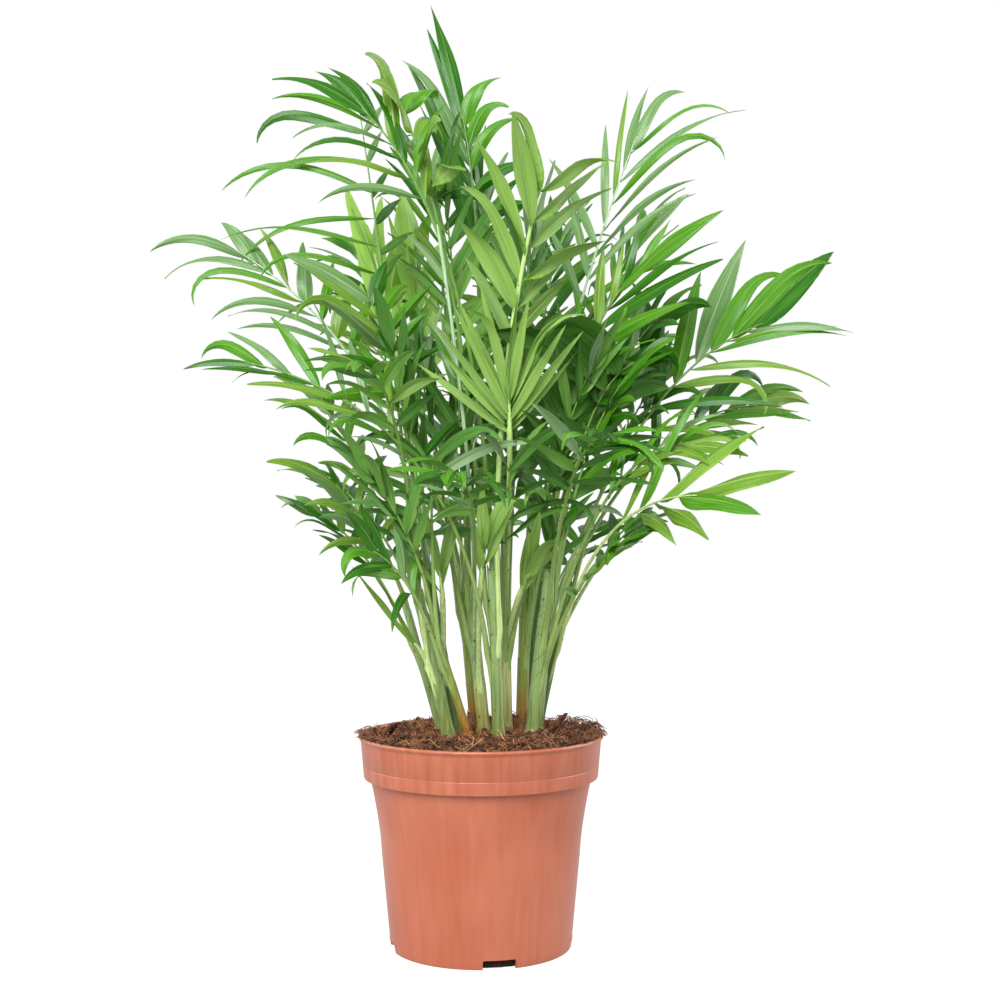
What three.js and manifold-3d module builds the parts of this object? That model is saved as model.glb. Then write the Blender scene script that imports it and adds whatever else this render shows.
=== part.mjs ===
// A parlour palm in its nursery pot: a clump of slender canes from one root ball, with arching
// feather fronds. Millimetres, +Z up, origin at the centre of the flat pad under the pot.
import * as THREE from 'three';
import { mergeVertices } from 'three/addons/utils/BufferGeometryUtils.js';
import Module from 'manifold-3d';

const wasm = await Module();
wasm.setup();

// ---------------------------------------------------------------- driving dimensions

// Pot: a 17 cm nursery pot, thin injection-moulded wall, with a stepped-out band under the lip.
const POT_HEIGHT = 147;
const LIP_RADIUS = 85;
const LIP_HEIGHT = 4;
const BAND_RADIUS = 81.3;
const BAND_HEIGHT = 117.5;
const SHOULDER_RADIUS = 76.8;
const CHEST_HEIGHT = 95;
const WAIST_RADIUS = 69;
const WAIST_HEIGHT = 68;
const BASE_RADIUS = 62.6;
const FLARE_POWER = 1.4;
const EDGE_ROUND = 1;
const POT_WALL = 1.6;
const POT_FLOOR = 2;
const POT_SEGMENTS = 28;

// Underside: a flat pad in the middle, a moulded groove round it, and a foot ring with drain slots.
const PAD_RADIUS = 44;
const GROOVE_DEPTH = 3;
const FOOT_RING_RADIUS = 58.5;
const DRAIN_WIDTH = 22.5;
const DRAIN_HEIGHT = 6.5;
const DRAIN_INNER_RADIUS = 55;
const DRAIN_COUNT = 4;
const DRAIN_ANGLE = -78;

// Soil: the root ball fills the pot and mounds to a level crown that the canes stand on.
const GAP = 0.3;
const SOIL_LEVEL = 150;
const SOIL_CROWN_RADIUS = 55;
const SOIL_EDGE_LEVEL = 143.5;
const SOIL_FOOT_LEVEL = 14;

// Canes: round, upright, flared a little at the foot and thinner at the top.
const CANE_SIDES = 8;
const FLARE = 1.35;
const FLARE_HEIGHT = 12;
const CANE_TAPER = 0.85;

// Fronds: a petiole that runs on into the rachis, and leaflets on both sides of it. The leaflets
// are longest in the middle of the blade.
const PETIOLE_RADIUS = 1.8;
const SEAT_GAP = 1.3;
const RACHIS_RADIUS = 1.3;
const TIP_RADIUS = 0.6;
const PETIOLE_STEPS = 3;
const PETIOLE_STEP_COUNT = 3.5;
const TIP_SHARE = 0.97;
const NOTCH_WIDTH = 2.2;
const SHORTEST_LEAFLET = 0.72;
const FIRST_LEAFLET = 0.1;
const LAST_LEAFLET = 0.9;
const REACH_STEPS = [1, 0.85, 0.7, 0.55, 0.4, 0.25, 0.12];
const SMALLEST_REACH = 0.03;
const BEND_POWER = 1.8;
const BEND_STEPS = 8;

// The height of a frond that grows on from the very top of its cane.
const TOP = Infinity;

// Each cane: its name, where its foot stands (x, y), where its tip is (x, y, z), and its radius.
const CANES = [
  ['cane_1', [-22, -30], [-44, -34, 255], 3.6],
  ['cane_2', [-17, -20], [-36, -17, 262], 3.0],
  ['cane_3', [-8, -38], [-31, -48, 225], 2.3],
  ['cane_4', [-5, 8], [-13, 8, 245], 3.1],
  ['cane_5', [2, -9], [-8, -12, 250], 3.2],
  ['cane_6', [12, -38], [8, -42, 262], 3.4],
  ['cane_7', [18, -7], [16, -4, 235], 2.6],
  ['cane_8', [28, 6], [31, 8, 258], 3.2],
  ['cane_9', [36, -14], [47, -16, 262], 4.2],
  ['cane_10', [39, 2], [60, 4, 250], 2.8],
  ['cane_11', [-20, 14], [-38, 34, 252], 3.0],
  ['cane_12', [-5, 30], [-10, 54, 255], 3.2],
  ['cane_13', [12, 32], [18, 60, 262], 3.2],
  ['cane_14', [28, 26], [44, 46, 250], 3.0],
  ['cane_15', [-28, -5], [-54, 4, 240], 2.7],
];

// Each frond: its name, its cane and the height where it leaves it, the point its rachis bends
// towards and the point it ends at, the share of it that is bare petiole, the pairs of leaflets,
// the longest leaflet, the angle between leaflet and rachis at the foot and at the tip in degrees,
// how far the leaflets bend over in radians, how far they rise off the blade, and how the blade
// rolls, in degrees. Where the blade's two sides differ, a pair of values gives the side at -1 first.
const FRONDS = [
  ['frond_top_1', 'cane_4', TOP, [10, 5, 462], [-14, 15, 584], 0.62,
    6, [56, 98], [[50, 42], [28, 4]], [1.2, 0.12], 10, 0],
  ['frond_top_2', 'cane_12', TOP, [-20, 80, 470], [-40, 110, 560], 0.5, 8, 75, [55, 15], 0.4, 10, 0],
  ['frond_top_3', 'cane_13', 246, [4, 64, 433], [0, 66, 545], 0.6, 6, 65, [50, 12], 0.4, 10, 0],
  ['frond_top_4', 'cane_5', TOP, [-10, -20, 400], [-25, -35, 520], 0.5, 7, 75, [50, 15], 0.4, 10, 0],
  ['frond_top_5', 'cane_7', TOP, [25, -10, 400], [35, -15, 495], 0.5, 7, 75, [50, 15], 0.4, 10, 0],
  ['frond_left_1', 'cane_1', 240, [-58, 10, 400], [-88, 45, 588], 0.58,
    7, [54, 108], [[58, 35], [64, 66]], [0.3, 0.95], -25, 0],
  ['frond_left_2', 'cane_6', TOP, [-1, -55, 494], [-78, -60, 567], 0.66,
    6, [68, 84], [[38, 6], [50, 14]], [0.6, 1.25], 5, -74],
  ['frond_left_3', 'cane_2', TOP, [-61, 20, 415], [-173, 30, 486], 0.55,
    8, [58, 84], [[55, 10], [38, 12]], [0.3, 0.95], 10, -50],
  ['frond_left_4', 'cane_1', TOP, [-42, -30, 377], [-79, -40, 462], 0.55,
    7, [60, 82], [[60, 25], [82, 28]], [0.5, 0.4], 10, -72],
  ['frond_left_5', 'cane_6', 205, [-14, -84, 372], [-160, -60, 401], 0.45,
    8, [72, 58], [[62, 12], [42, 14]], [0.6, 0.5], 12, -48],
  ['frond_left_6', 'cane_3', TOP, [-36, -62, 275], [-72, -80, 330], 0.4, 5, 60, [50, 15], 0.5, 10, 0],
  ['frond_left_7', 'cane_15', TOP, [-66, -10, 278], [-100, -10, 320], 0.45,
    6, [40, 66], [[55, 20], [60, 20]], [0.9, 0.9], 10, -45],
  ['frond_left_8', 'cane_3', 198, [-42, -62, 260], [-68, -85, 276], 0.4,
    4, [48, 62], [[50, 15], [62, 20]], [0.6, 0.9], 10, -60],
  ['frond_left_9', 'cane_15', 208, [-80, 25, 280], [-120, 50, 300], 0.4, 6, 50, [55, 15], 0.5, 10, 0],
  ['frond_left_10', 'cane_11', 218, [-90, 60, 350], [-125, 100, 385], 0.45, 8, 60, [55, 15], 0.6, 10, 0],
  ['frond_right_1', 'cane_8', TOP, [56, 25, 430], [112, 45, 572], 0.55,
    7, [106, 88], [[42, 24], [38, 2]], [0.8, 0.25], 5, 40],
  ['frond_right_2', 'cane_9', TOP, [51, -20, 411], [109, -30, 468], 0.5,
    7, [98, 52], [[50, 20], [42, 12]], [0.5, 0.25], 5, 60],
  ['frond_right_3', 'cane_9', 236, [108, 0, 400], [198, 10, 433], 0.42,
    9, [66, 98], [[52, 16], [52, 14]], [0.6, 0.6], 10, 60],
  ['frond_right_4', 'cane_10', TOP, [118, 50, 374], [206, 85, 380], 0.45,
    8, [58, 78], [[34, 8], [40, 12]], [0.6, 0.8], 10, 50],
  ['frond_right_5', 'cane_9', 208, [80, -45, 350], [140, -75, 345], 0.45,
    8, [54, 60], [[50, 15], [50, 18]], [0.5, 0.7], 10, 50],
  ['frond_right_6', 'cane_10', 205, [74, -60, 312], [138, -100, 312], 0.5,
    6, [72, 68], [[58, 12], [70, 20]], [0.45, 0.5], 8, 55],
  ['frond_right_7', 'cane_9', 194, [62, -70, 265], [95, -95, 285], 0.4, 5, 42, [60, 15], 0.5, 10, 30],
  ['frond_right_8', 'cane_10', 222, [90, 30, 280], [115, 45, 292], 0.4, 6, 42, [55, 15], 0.5, 10, 0],
  ['frond_front_1', 'cane_6', 222, [4, -62, 378], [41, -78, 519], 0.6,
    7, [86, 88], [[42, 22], [38, 40]], [0.4, 0.35], 10, 0],
  ['frond_front_2', 'cane_5', 232, [4, -110, 335], [-20, -185, 325], 0.45, 7, 54, [60, 15], 1.0, 10, 0],
  ['frond_front_3', 'cane_9', 222, [55, -110, 360], [80, -185, 345], 0.45, 7, 60, [60, 15], 0.7, 10, 0],
  ['frond_front_4', 'cane_1', 226, [-50, -85, 405], [-75, -155, 390], 0.45, 7, 60, [60, 15], 0.6, 10, 0],
  ['frond_front_5', 'cane_5', 212, [-30, -30, 320], [-60, -45, 415], 0.45, 6, 60, [50, 15], 0.4, 10, 0],
  ['frond_front_6', 'cane_7', 205, [40, -32, 320], [75, -55, 400], 0.45, 6, 60, [50, 15], 0.4, 10, 0],
  ['frond_front_7', 'cane_7', 226, [22, -58, 330], [24, -73, 405], 0.55, 8, 78, [46, 9], 0.06, 4, 0],
  ['frond_back_1', 'cane_11', TOP, [-50, 70, 440], [-95, 130, 500], 0.5, 8, 70, [60, 15], 0.6, 10, 0],
  ['frond_back_2', 'cane_11', 240, [-49, 60, 368], [-76, 72, 470], 0.6, 4, 65, [40, 8], 0.1, 10, 0],
  ['frond_back_3', 'cane_12', 224, [-42, 74, 361], [-50, 84, 480], 0.6, 4, 65, [40, 8], 0.1, 10, 0],
  ['frond_back_4', 'cane_12', 243, [-50, 100, 410], [-100, 170, 440], 0.45, 8, 75, [60, 15], 0.6, 10, 0],
  ['frond_back_5', 'cane_13', TOP, [20, 110, 460], [30, 185, 490], 0.45, 8, 75, [60, 15], 0.6, 10, 0],
  ['frond_back_6', 'cane_13', 228, [15, 120, 400], [10, 210, 400], 0.45, 8, 75, [60, 15], 0.6, 10, 0],
  ['frond_back_7', 'cane_14', 236, [70, 90, 390], [115, 150, 425], 0.45, 8, 75, [60, 15], 0.6, 10, 0],
  ['frond_back_8', 'cane_14', TOP, [75, 50, 440], [120, 95, 515], 0.5, 8, 70, [55, 15], 0.5, 10, 0],
  ['frond_back_9', 'cane_8', 236, [36, 80, 421], [58, 105, 505], 0.6, 6, 70, [50, 12], 0.4, 10, 0],
  ['frond_back_10', 'cane_14', 208, [65, 90, 280], [95, 140, 290], 0.4, 6, 50, [55, 15], 0.6, 10, 0],
  ['frond_back_11', 'cane_13', 212, [5, 100, 300], [-15, 160, 305], 0.4, 6, 55, [55, 15], 0.6, 10, 0],
  ['frond_back_12', 'cane_11', 206, [-70, 75, 290], [-105, 115, 315], 0.4, 6, 50, [55, 15], 0.6, 10, 0],
];

// ---------------------------------------------------------------- materials

const finishes = {
  pot: new THREE.MeshStandardMaterial({ color: 0xd5805f, roughness: 0.45, metalness: 0 }),
  soil: new THREE.MeshStandardMaterial({ color: 0x4a3626, roughness: 0.95, metalness: 0 }),
  cane: new THREE.MeshStandardMaterial({ color: 0xa9b57e, roughness: 0.5, metalness: 0 }),
  leaf: new THREE.MeshStandardMaterial({
    color: 0x4f8f2c, roughness: 0.45, metalness: 0, side: THREE.DoubleSide,
  }),
};

const palm = new THREE.Group();

function addNode(name, geometry, finish) {
  geometry.computeVertexNormals();
  const mesh = new THREE.Mesh(geometry, finishes[finish]);
  mesh.name = name;
  palm.add(mesh);
}

// ---------------------------------------------------------------- solids

function geometryFrom(points, faces) {
  const geometry = new THREE.BufferGeometry();
  geometry.setAttribute('position', new THREE.Float32BufferAttribute(points, 3));
  geometry.setIndex(faces);
  return geometry;
}

// A closed solid for cutting: shared corners are merged, and the flat faces that a lathe leaves
// where its outline meets the axis are dropped.
function solidFrom(geometry) {
  const bare = geometry.clone();
  bare.deleteAttribute('normal');
  bare.deleteAttribute('uv');
  const merged = mergeVertices(bare, 1e-4);
  const index = merged.index.array;
  const faces = [];
  for (let i = 0; i < index.length; i += 3) {
    const [a, b, c] = index.slice(i, i + 3);
    if (a !== b && b !== c && c !== a) faces.push(a, b, c);
  }
  return new wasm.Manifold(new wasm.Mesh({
    numProp: 3,
    vertProperties: merged.attributes.position.array,
    triVerts: Uint32Array.from(faces),
  }));
}

function geometryOf(solid) {
  const mesh = solid.getMesh();
  return geometryFrom(Array.from(mesh.vertProperties), Array.from(mesh.triVerts));
}

// A body of revolution about Z from an outline of [radius, height] pairs that starts and ends on
// the axis, going outwards along the bottom first.
function revolve(outline) {
  const points = outline.map(([radius, height]) => new THREE.Vector2(radius, height));
  const geometry = new THREE.LatheGeometry(points, POT_SEGMENTS);
  geometry.rotateX(Math.PI / 2);
  return solidFrom(geometry);
}

// ---------------------------------------------------------------- pot and soil

// The outer wall's radius at a height below the band: it flares slowly from the base to the
// waist and faster up to the shoulder.
function wallRadius(height) {
  if (height <= WAIST_HEIGHT) {
    return THREE.MathUtils.mapLinear(height, 0, WAIST_HEIGHT, BASE_RADIUS, WAIST_RADIUS);
  }
  const share = (height - WAIST_HEIGHT) / (BAND_HEIGHT - WAIST_HEIGHT);
  return WAIST_RADIUS + (SHOULDER_RADIUS - WAIST_RADIUS) * share ** FLARE_POWER;
}

function addPot() {
  const floor = GROOVE_DEPTH + POT_FLOOR;
  const outside = [
    [0, 0],
    [PAD_RADIUS, 0],
    [PAD_RADIUS + GROOVE_DEPTH, GROOVE_DEPTH],
    [FOOT_RING_RADIUS - EDGE_ROUND, GROOVE_DEPTH],
    [FOOT_RING_RADIUS, 0],
    [BASE_RADIUS - EDGE_ROUND, 0],
    [wallRadius(EDGE_ROUND), EDGE_ROUND],
    [WAIST_RADIUS, WAIST_HEIGHT],
    [wallRadius(CHEST_HEIGHT), CHEST_HEIGHT],
    [SHOULDER_RADIUS, BAND_HEIGHT - EDGE_ROUND],
    [BAND_RADIUS, BAND_HEIGHT],
    [LIP_RADIUS - EDGE_ROUND, POT_HEIGHT - LIP_HEIGHT],
    [LIP_RADIUS, POT_HEIGHT - EDGE_ROUND],
    [LIP_RADIUS - EDGE_ROUND, POT_HEIGHT],
  ];
  const inside = [
    [LIP_RADIUS - POT_WALL - EDGE_ROUND, POT_HEIGHT],
    [BAND_RADIUS - POT_WALL, BAND_HEIGHT + EDGE_ROUND],
    [SHOULDER_RADIUS - POT_WALL, BAND_HEIGHT - POT_WALL],
    [WAIST_RADIUS - POT_WALL, WAIST_HEIGHT],
    [wallRadius(floor) - POT_WALL, floor],
    [PAD_RADIUS + EDGE_ROUND, floor],
    [PAD_RADIUS - POT_FLOOR, POT_FLOOR],
    [0, POT_FLOOR],
  ];
  let pot = revolve([...outside, ...inside]);
  const depth = LIP_RADIUS - DRAIN_INNER_RADIUS;
  for (let i = 0; i < DRAIN_COUNT; i += 1) {
    const slot = new THREE.BoxGeometry(depth, DRAIN_WIDTH, 2 * DRAIN_HEIGHT);
    slot.translate(DRAIN_INNER_RADIUS + depth / 2, 0, 0);
    slot.rotateZ(THREE.MathUtils.degToRad(DRAIN_ANGLE + (i * 360) / DRAIN_COUNT));
    pot = pot.subtract(solidFrom(slot));
  }
  addNode('pot', geometryOf(pot), 'pot');
}

// The root ball follows the inside of the pot a gap away from it, clear of the drain slots.
function addSoil() {
  const inset = POT_WALL + 2 * GAP;
  const bottom = GROOVE_DEPTH + POT_FLOOR + GAP;
  const edge = THREE.MathUtils.mapLinear(
    SOIL_EDGE_LEVEL, BAND_HEIGHT, POT_HEIGHT, BAND_RADIUS, LIP_RADIUS - EDGE_ROUND,
  );
  addNode('soil', geometryOf(revolve([
    [0, bottom],
    [DRAIN_INNER_RADIUS - EDGE_ROUND, bottom],
    [wallRadius(SOIL_FOOT_LEVEL) - inset, SOIL_FOOT_LEVEL],
    [WAIST_RADIUS - inset, WAIST_HEIGHT],
    [SHOULDER_RADIUS - inset, BAND_HEIGHT - POT_WALL],
    [BAND_RADIUS - inset, BAND_HEIGHT + 2 * EDGE_ROUND],
    [edge - inset, SOIL_EDGE_LEVEL],
    [SOIL_CROWN_RADIUS, SOIL_LEVEL],
    [0, SOIL_LEVEL],
  ])), 'soil');
}

// ---------------------------------------------------------------- canes

// The point on a cane's centre line at a height.
function caneAxis([, foot, tip], height) {
  const start = new THREE.Vector3(foot[0], foot[1], SOIL_LEVEL + GAP);
  const end = new THREE.Vector3(...tip);
  return start.clone().lerp(end, (height - start.z) / (end.z - start.z));
}

// A stack of level rings joined into one closed solid with flat ends.
function stack(rings) {
  const sides = rings[0].length;
  const points = rings.flat().flatMap((point) => point.toArray());
  const faces = [];
  for (let r = 0; r + 1 < rings.length; r += 1) {
    for (let i = 0; i < sides; i += 1) {
      const j = (i + 1) % sides;
      const [a, b, c, d] = [r * sides + i, r * sides + j, (r + 1) * sides + j, (r + 1) * sides + i];
      faces.push(a, b, c, a, c, d);
    }
  }
  const last = (rings.length - 1) * sides;
  for (let i = 1; i + 1 < sides; i += 1) {
    faces.push(0, i + 1, i, last, last + i, last + i + 1);
  }
  return geometryFrom(points, faces);
}

// A cane's solid, with an extra all round it for testing clearances.
function caneGeometry(cane, extra = 0) {
  const [, , tip, radius] = cane;
  const foot = SOIL_LEVEL + GAP;
  const sections = [
    [foot, radius * FLARE],
    [foot + FLARE_HEIGHT / 3, radius * (1 + (FLARE - 1) / 2)],
    [foot + FLARE_HEIGHT, radius],
    [(foot + tip[2]) / 2, radius * (1 + CANE_TAPER) / 2],
    [tip[2], radius * CANE_TAPER],
  ];
  return stack(sections.map(([height, size]) => {
    const centre = caneAxis(cane, height);
    return Array.from({ length: CANE_SIDES }, (_, i) => {
      const turn = (2 * Math.PI * (i + 0.5)) / CANE_SIDES;
      const direction = new THREE.Vector3(Math.cos(turn), Math.sin(turn), 0);
      return centre.clone().addScaledVector(direction, size + extra);
    });
  }));
}

// ---------------------------------------------------------------- fronds

// A frond's rachis and the directions its leaflets spread in.
function makeFrond(row) {
  const [name, caneName, height, bend, end, bare, pairs, reach, splay, droop, lift, roll] = row;
  const cane = CANES.find(([label]) => label === caneName);
  const caneTip = cane[2][2];
  const start = caneAxis(cane, Math.min(height, caneTip));
  const tip = new THREE.Vector3(...end);
  const outward = tip.clone().sub(start).setZ(0).normalize();
  if (height > caneTip) start.z += SEAT_GAP;
  else start.addScaledVector(outward, cane[3] + PETIOLE_RADIUS + GAP);
  const rachis = new THREE.QuadraticBezierCurve3(start, new THREE.Vector3(...bend), tip);
  const across = new THREE.Vector3(-outward.y, outward.x, 0);
  return { name, rachis, across, bare, pairs, reach, splay, droop, lift, roll };
}

// The rachis at a share of its length: its centre, its direction, the way across it and the way
// up off the blade.
function station(frond, share) {
  const centre = frond.rachis.getPoint(share);
  const along = frond.rachis.getTangent(share);
  const flat = frond.across.clone().addScaledVector(along, -frond.across.dot(along)).normalize();
  const raised = along.clone().cross(flat);
  const roll = THREE.MathUtils.degToRad(frond.roll);
  const across = flat.clone().applyAxisAngle(along, roll);
  const up = raised.clone().applyAxisAngle(along, roll);
  return { centre, along, across, up };
}

// The rachis is thickest as petiole and thins out to the tip.
function rachisRadius(frond, share) {
  if (share <= frond.bare) {
    return THREE.MathUtils.mapLinear(share, 0, frond.bare, PETIOLE_RADIUS, RACHIS_RADIUS);
  }
  return THREE.MathUtils.mapLinear(share, frond.bare, 1, RACHIS_RADIUS, TIP_RADIUS);
}

// A frond's value for one side of its blade: some are given for both sides at once.
function ofSide(value, side, shared) {
  return shared(value) ? value : value[side < 0 ? 0 : 1];
}

// How far the tip of an arching leaflet gets forwards and downwards, as shares of its length. It
// bends over by its droop in all, and most of that is towards the tip.
function arch(droop) {
  const reached = { forwards: 0, down: 0 };
  for (let i = 0; i < BEND_STEPS; i += 1) {
    const bend = droop * ((i + 0.5) / BEND_STEPS) ** BEND_POWER;
    reached.forwards += Math.cos(bend) / BEND_STEPS;
    reached.down += Math.sin(bend) / BEND_STEPS;
  }
  return reached;
}

// Where a leaflet's tip is, for a share of the blade's length, a side of -1 or 1 and a share of
// its full reach: it leaves the rachis at the splay angle and arches over.
function leafletTip(frond, bladeShare, side, reachShare) {
  const { centre, along, across, up } = station(frond, shareOnRachis(frond, bladeShare));
  const splayRange = ofSide(frond.splay, side, (value) => Number.isFinite(value[0]));
  const splay = THREE.MathUtils.degToRad(THREE.MathUtils.lerp(...splayRange, bladeShare));
  const lift = THREE.MathUtils.degToRad(frond.lift);
  const swell = Math.sin(Math.PI * THREE.MathUtils.lerp(FIRST_LEAFLET, LAST_LEAFLET, bladeShare));
  const longest = ofSide(frond.reach, side, Number.isFinite);
  const length = longest * reachShare * THREE.MathUtils.lerp(SHORTEST_LEAFLET, 1, swell);
  const heading = along.clone().multiplyScalar(Math.cos(splay))
    .addScaledVector(across, side * Math.sin(splay) * Math.cos(lift))
    .addScaledVector(up, Math.sin(splay) * Math.sin(lift));
  const downward = heading.clone().multiplyScalar(heading.z).setZ(heading.z ** 2 - 1).normalize();
  const { forwards, down } = arch(ofSide(frond.droop, side, Number.isFinite));
  return centre.clone()
    .addScaledVector(heading, length * forwards)
    .addScaledVector(downward, length * down);
}

// The leafy part of the rachis starts where the bare petiole ends.
function shareOnRachis(frond, bladeShare) {
  return frond.bare + (1 - frond.bare) * TIP_SHARE * bladeShare;
}

// One cross-section of a frond: the top and bottom of the rachis, and the blade's two edges.
function section(frond, share, left, right, extra = 0) {
  const { centre, across, up } = station(frond, share);
  const half = rachisRadius(frond, share) + extra;
  return {
    centre,
    across,
    top: centre.clone().addScaledVector(up, half),
    bottom: centre.clone().addScaledVector(up, -half),
    left: left ?? centre.clone().addScaledVector(across, half),
    right: right ?? centre.clone().addScaledVector(across, -half),
  };
}

// The narrow cross-section between two leaflets.
function notch(frond, bladeShare, extra = 0) {
  const share = shareOnRachis(frond, bladeShare);
  const { centre, across } = station(frond, share);
  const reach = NOTCH_WIDTH + extra;
  const left = centre.clone().addScaledVector(across, reach);
  const right = centre.clone().addScaledVector(across, -reach);
  return section(frond, share, left, right, extra);
}

// Joins cross-sections into a closed thin solid. Both faces of each side are split along the same
// diagonal, so that the blade keeps its thickness where a leaflet sags.
function blade(sections) {
  const points = sections.flatMap((ring) => [ring.top, ring.left, ring.bottom, ring.right])
    .flatMap((point) => point.toArray());
  const [top, left, bottom, right] = [0, 1, 2, 3];
  const faces = [];
  const strip = (a, b, ridge, edge, turned) => {
    const corners = [[a + ridge, a + edge, b + edge], [a + ridge, b + edge, b + ridge]];
    for (const [p, q, r] of corners) faces.push(...(turned ? [p, r, q] : [p, q, r]));
  };
  for (let i = 0; i + 1 < sections.length; i += 1) {
    const [a, b] = [4 * i, 4 * (i + 1)];
    strip(a, b, top, left, true);
    strip(a, b, bottom, left, false);
    strip(a, b, bottom, right, true);
    strip(a, b, top, right, false);
  }
  const last = 4 * (sections.length - 1);
  faces.push(0, 1, 2, 0, 2, 3, last, last + 2, last + 1, last, last + 3, last + 2);
  return geometryFrom(points, faces);
}

// The frond as cross-sections, with each leaflet's share of its full reach.
function frondSections(frond, reaches, extra = 0) {
  const sections = [];
  for (let i = 0; i <= PETIOLE_STEPS; i += 1) {
    sections.push(section(frond, (frond.bare * i) / PETIOLE_STEP_COUNT, null, null, extra));
  }
  for (let i = 0; i < frond.pairs; i += 1) {
    const middle = (i + 0.5) / frond.pairs;
    const [left, right] = [1, -1].map((side, s) => leafletTip(frond, middle, side, reaches[i][s]));
    sections.push(notch(frond, i / frond.pairs, extra));
    sections.push(section(frond, shareOnRachis(frond, middle), left, right, extra));
  }
  sections.push(notch(frond, 1, extra));
  return sections;
}

// One leaflet with its clearance, closed at the rachis, to test what it would run into.
function leafletSolid(frond, pair, side, reachShare) {
  const middle = (pair + 0.5) / frond.pairs;
  const tip = leafletTip(frond, middle, side, reachShare);
  const rows = [
    notch(frond, pair / frond.pairs, GAP),
    section(frond, shareOnRachis(frond, middle), tip, tip, GAP),
    notch(frond, (pair + 1) / frond.pairs, GAP),
  ];
  const inner = side > 0 ? 'right' : 'left';
  for (const row of rows) row[inner] = row.centre.clone().addScaledVector(row.across, -side * GAP);
  return solidFrom(blade(rows));
}

function boxesMeet(a, b) {
  return [0, 1, 2].every((axis) => a.min[axis] <= b.max[axis] && b.min[axis] <= a.max[axis]);
}

function isClear(solid, obstacles) {
  const box = solid.boundingBox();
  const near = obstacles.filter((other) => boxesMeet(box, other.box));
  return near.every((other) => other.solid.intersect(solid).isEmpty());
}

function obstacle(owner, geometry) {
  const solid = solidFrom(geometry);
  return { owner, solid, box: solid.boundingBox() };
}

// The frond with hardly any leaflets, which nothing else may touch.
function core(frond) {
  const reaches = Array.from({ length: frond.pairs }, () => [SMALLEST_REACH, SMALLEST_REACH]);
  return obstacle(frond.name, blade(frondSections(frond, reaches, GAP)));
}

function longestClearReach(frond, pair, side, obstacles) {
  const fits = (share) => isClear(leafletSolid(frond, pair, side, share), obstacles);
  return REACH_STEPS.find(fits) ?? SMALLEST_REACH;
}

// Every leaflet reaches as far as it can without running into a cane, a rachis or a leaflet that
// was placed before it.
function addFronds() {
  const fronds = FRONDS.map(makeFrond);
  const canes = CANES.map((cane) => obstacle(cane[0], caneGeometry(cane, GAP)));
  const cores = fronds.map(core);
  const placed = [];
  for (const frond of fronds) {
    const others = [...canes, ...cores, ...placed].filter(({ owner }) => owner !== frond.name);
    const reaches = Array.from({ length: frond.pairs }, (_, pair) => (
      [1, -1].map((side) => longestClearReach(frond, pair, side, others))
    ));
    const geometry = blade(frondSections(frond, reaches));
    placed.push(obstacle(frond.name, geometry));
    addNode(frond.name, geometry, 'leaf');
  }
}

addPot();
addSoil();
for (const cane of CANES) addNode(cane[0], caneGeometry(cane), 'cane');
addFronds();

export default palm;
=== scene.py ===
import math

import bmesh
import bpy
import numpy as np
from mathutils import Matrix, Vector, noise


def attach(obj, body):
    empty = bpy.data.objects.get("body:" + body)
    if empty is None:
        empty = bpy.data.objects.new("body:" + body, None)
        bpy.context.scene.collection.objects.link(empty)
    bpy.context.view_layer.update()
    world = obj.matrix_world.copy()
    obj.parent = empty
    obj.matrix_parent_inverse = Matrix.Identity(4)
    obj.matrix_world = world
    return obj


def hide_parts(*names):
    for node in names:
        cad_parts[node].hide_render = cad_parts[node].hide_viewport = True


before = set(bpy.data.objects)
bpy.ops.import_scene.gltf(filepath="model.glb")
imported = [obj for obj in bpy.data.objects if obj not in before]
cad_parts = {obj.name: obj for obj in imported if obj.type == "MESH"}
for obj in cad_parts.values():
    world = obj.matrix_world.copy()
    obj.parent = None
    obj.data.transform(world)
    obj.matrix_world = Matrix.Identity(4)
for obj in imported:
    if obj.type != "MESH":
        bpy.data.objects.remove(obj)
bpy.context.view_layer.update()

# ---------------------------------------------------------------- camera
# A short portrait lens, held level with the middle of the plant, far enough off to see all of it.

MM = 0.001  # a millimetre, in metres
CAMERA_PLACE = (13.2, -1113, 309)
CAMERA_LENS = 57.6
CAMERA_SENSOR = 36

camera_data = bpy.data.cameras.new("camera")
camera_data.lens = CAMERA_LENS
camera_data.sensor_width = CAMERA_SENSOR
camera = bpy.data.objects.new("camera", camera_data)
camera.location = Vector(CAMERA_PLACE) * MM
camera.rotation_euler = (math.radians(90), 0, 0)
bpy.context.scene.collection.objects.link(camera)
bpy.context.scene.camera = camera

# ---------------------------------------------------------------- pot
# A 17 cm nursery pot: one thin shell of polypropylene, injection moulded, with a stepped band
# under the lip, a foot ring with four drain slots, and a flat pad underneath that it stands on.

LIP_RADIUS = 85
LIP_ROUND = 1.3
POT_HEIGHT = 147
BAND_RADIUS = 81.3
BAND_HEIGHT = 117.5
BAND_LINE = 9
SHOULDER_RADIUS = 76.8
WAIST_RADIUS = 69
WAIST_HEIGHT = 68
BASE_RADIUS = 62.6
FLARE_POWER = 1.4
POT_WALL = 1.6
POT_FLOOR = 5.2
SEAM_HEIGHT = 7
PAD_RADIUS = 44
PAD_TOP = 2
GATE_RADIUS = 3
GATE_DEPTH = 0.5
FOOT_RING_RADIUS = 58.5
GROOVE_DEPTH = 3
SLOT_WIDTH = 22.5
SLOT_HEIGHT = 6.5
SLOT_CORNER = 1.2
SLOT_INNER_RADIUS = 55
SLOT_COUNT = 4
SLOT_ANGLE = -78
POT_SEGMENTS = 300
POT_RIPPLE = 0.12
LIP_RIPPLE = 0.25
RIPPLES_AROUND = 9
RIPPLE_RISE = 90
POT_CREASE = 32


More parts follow.
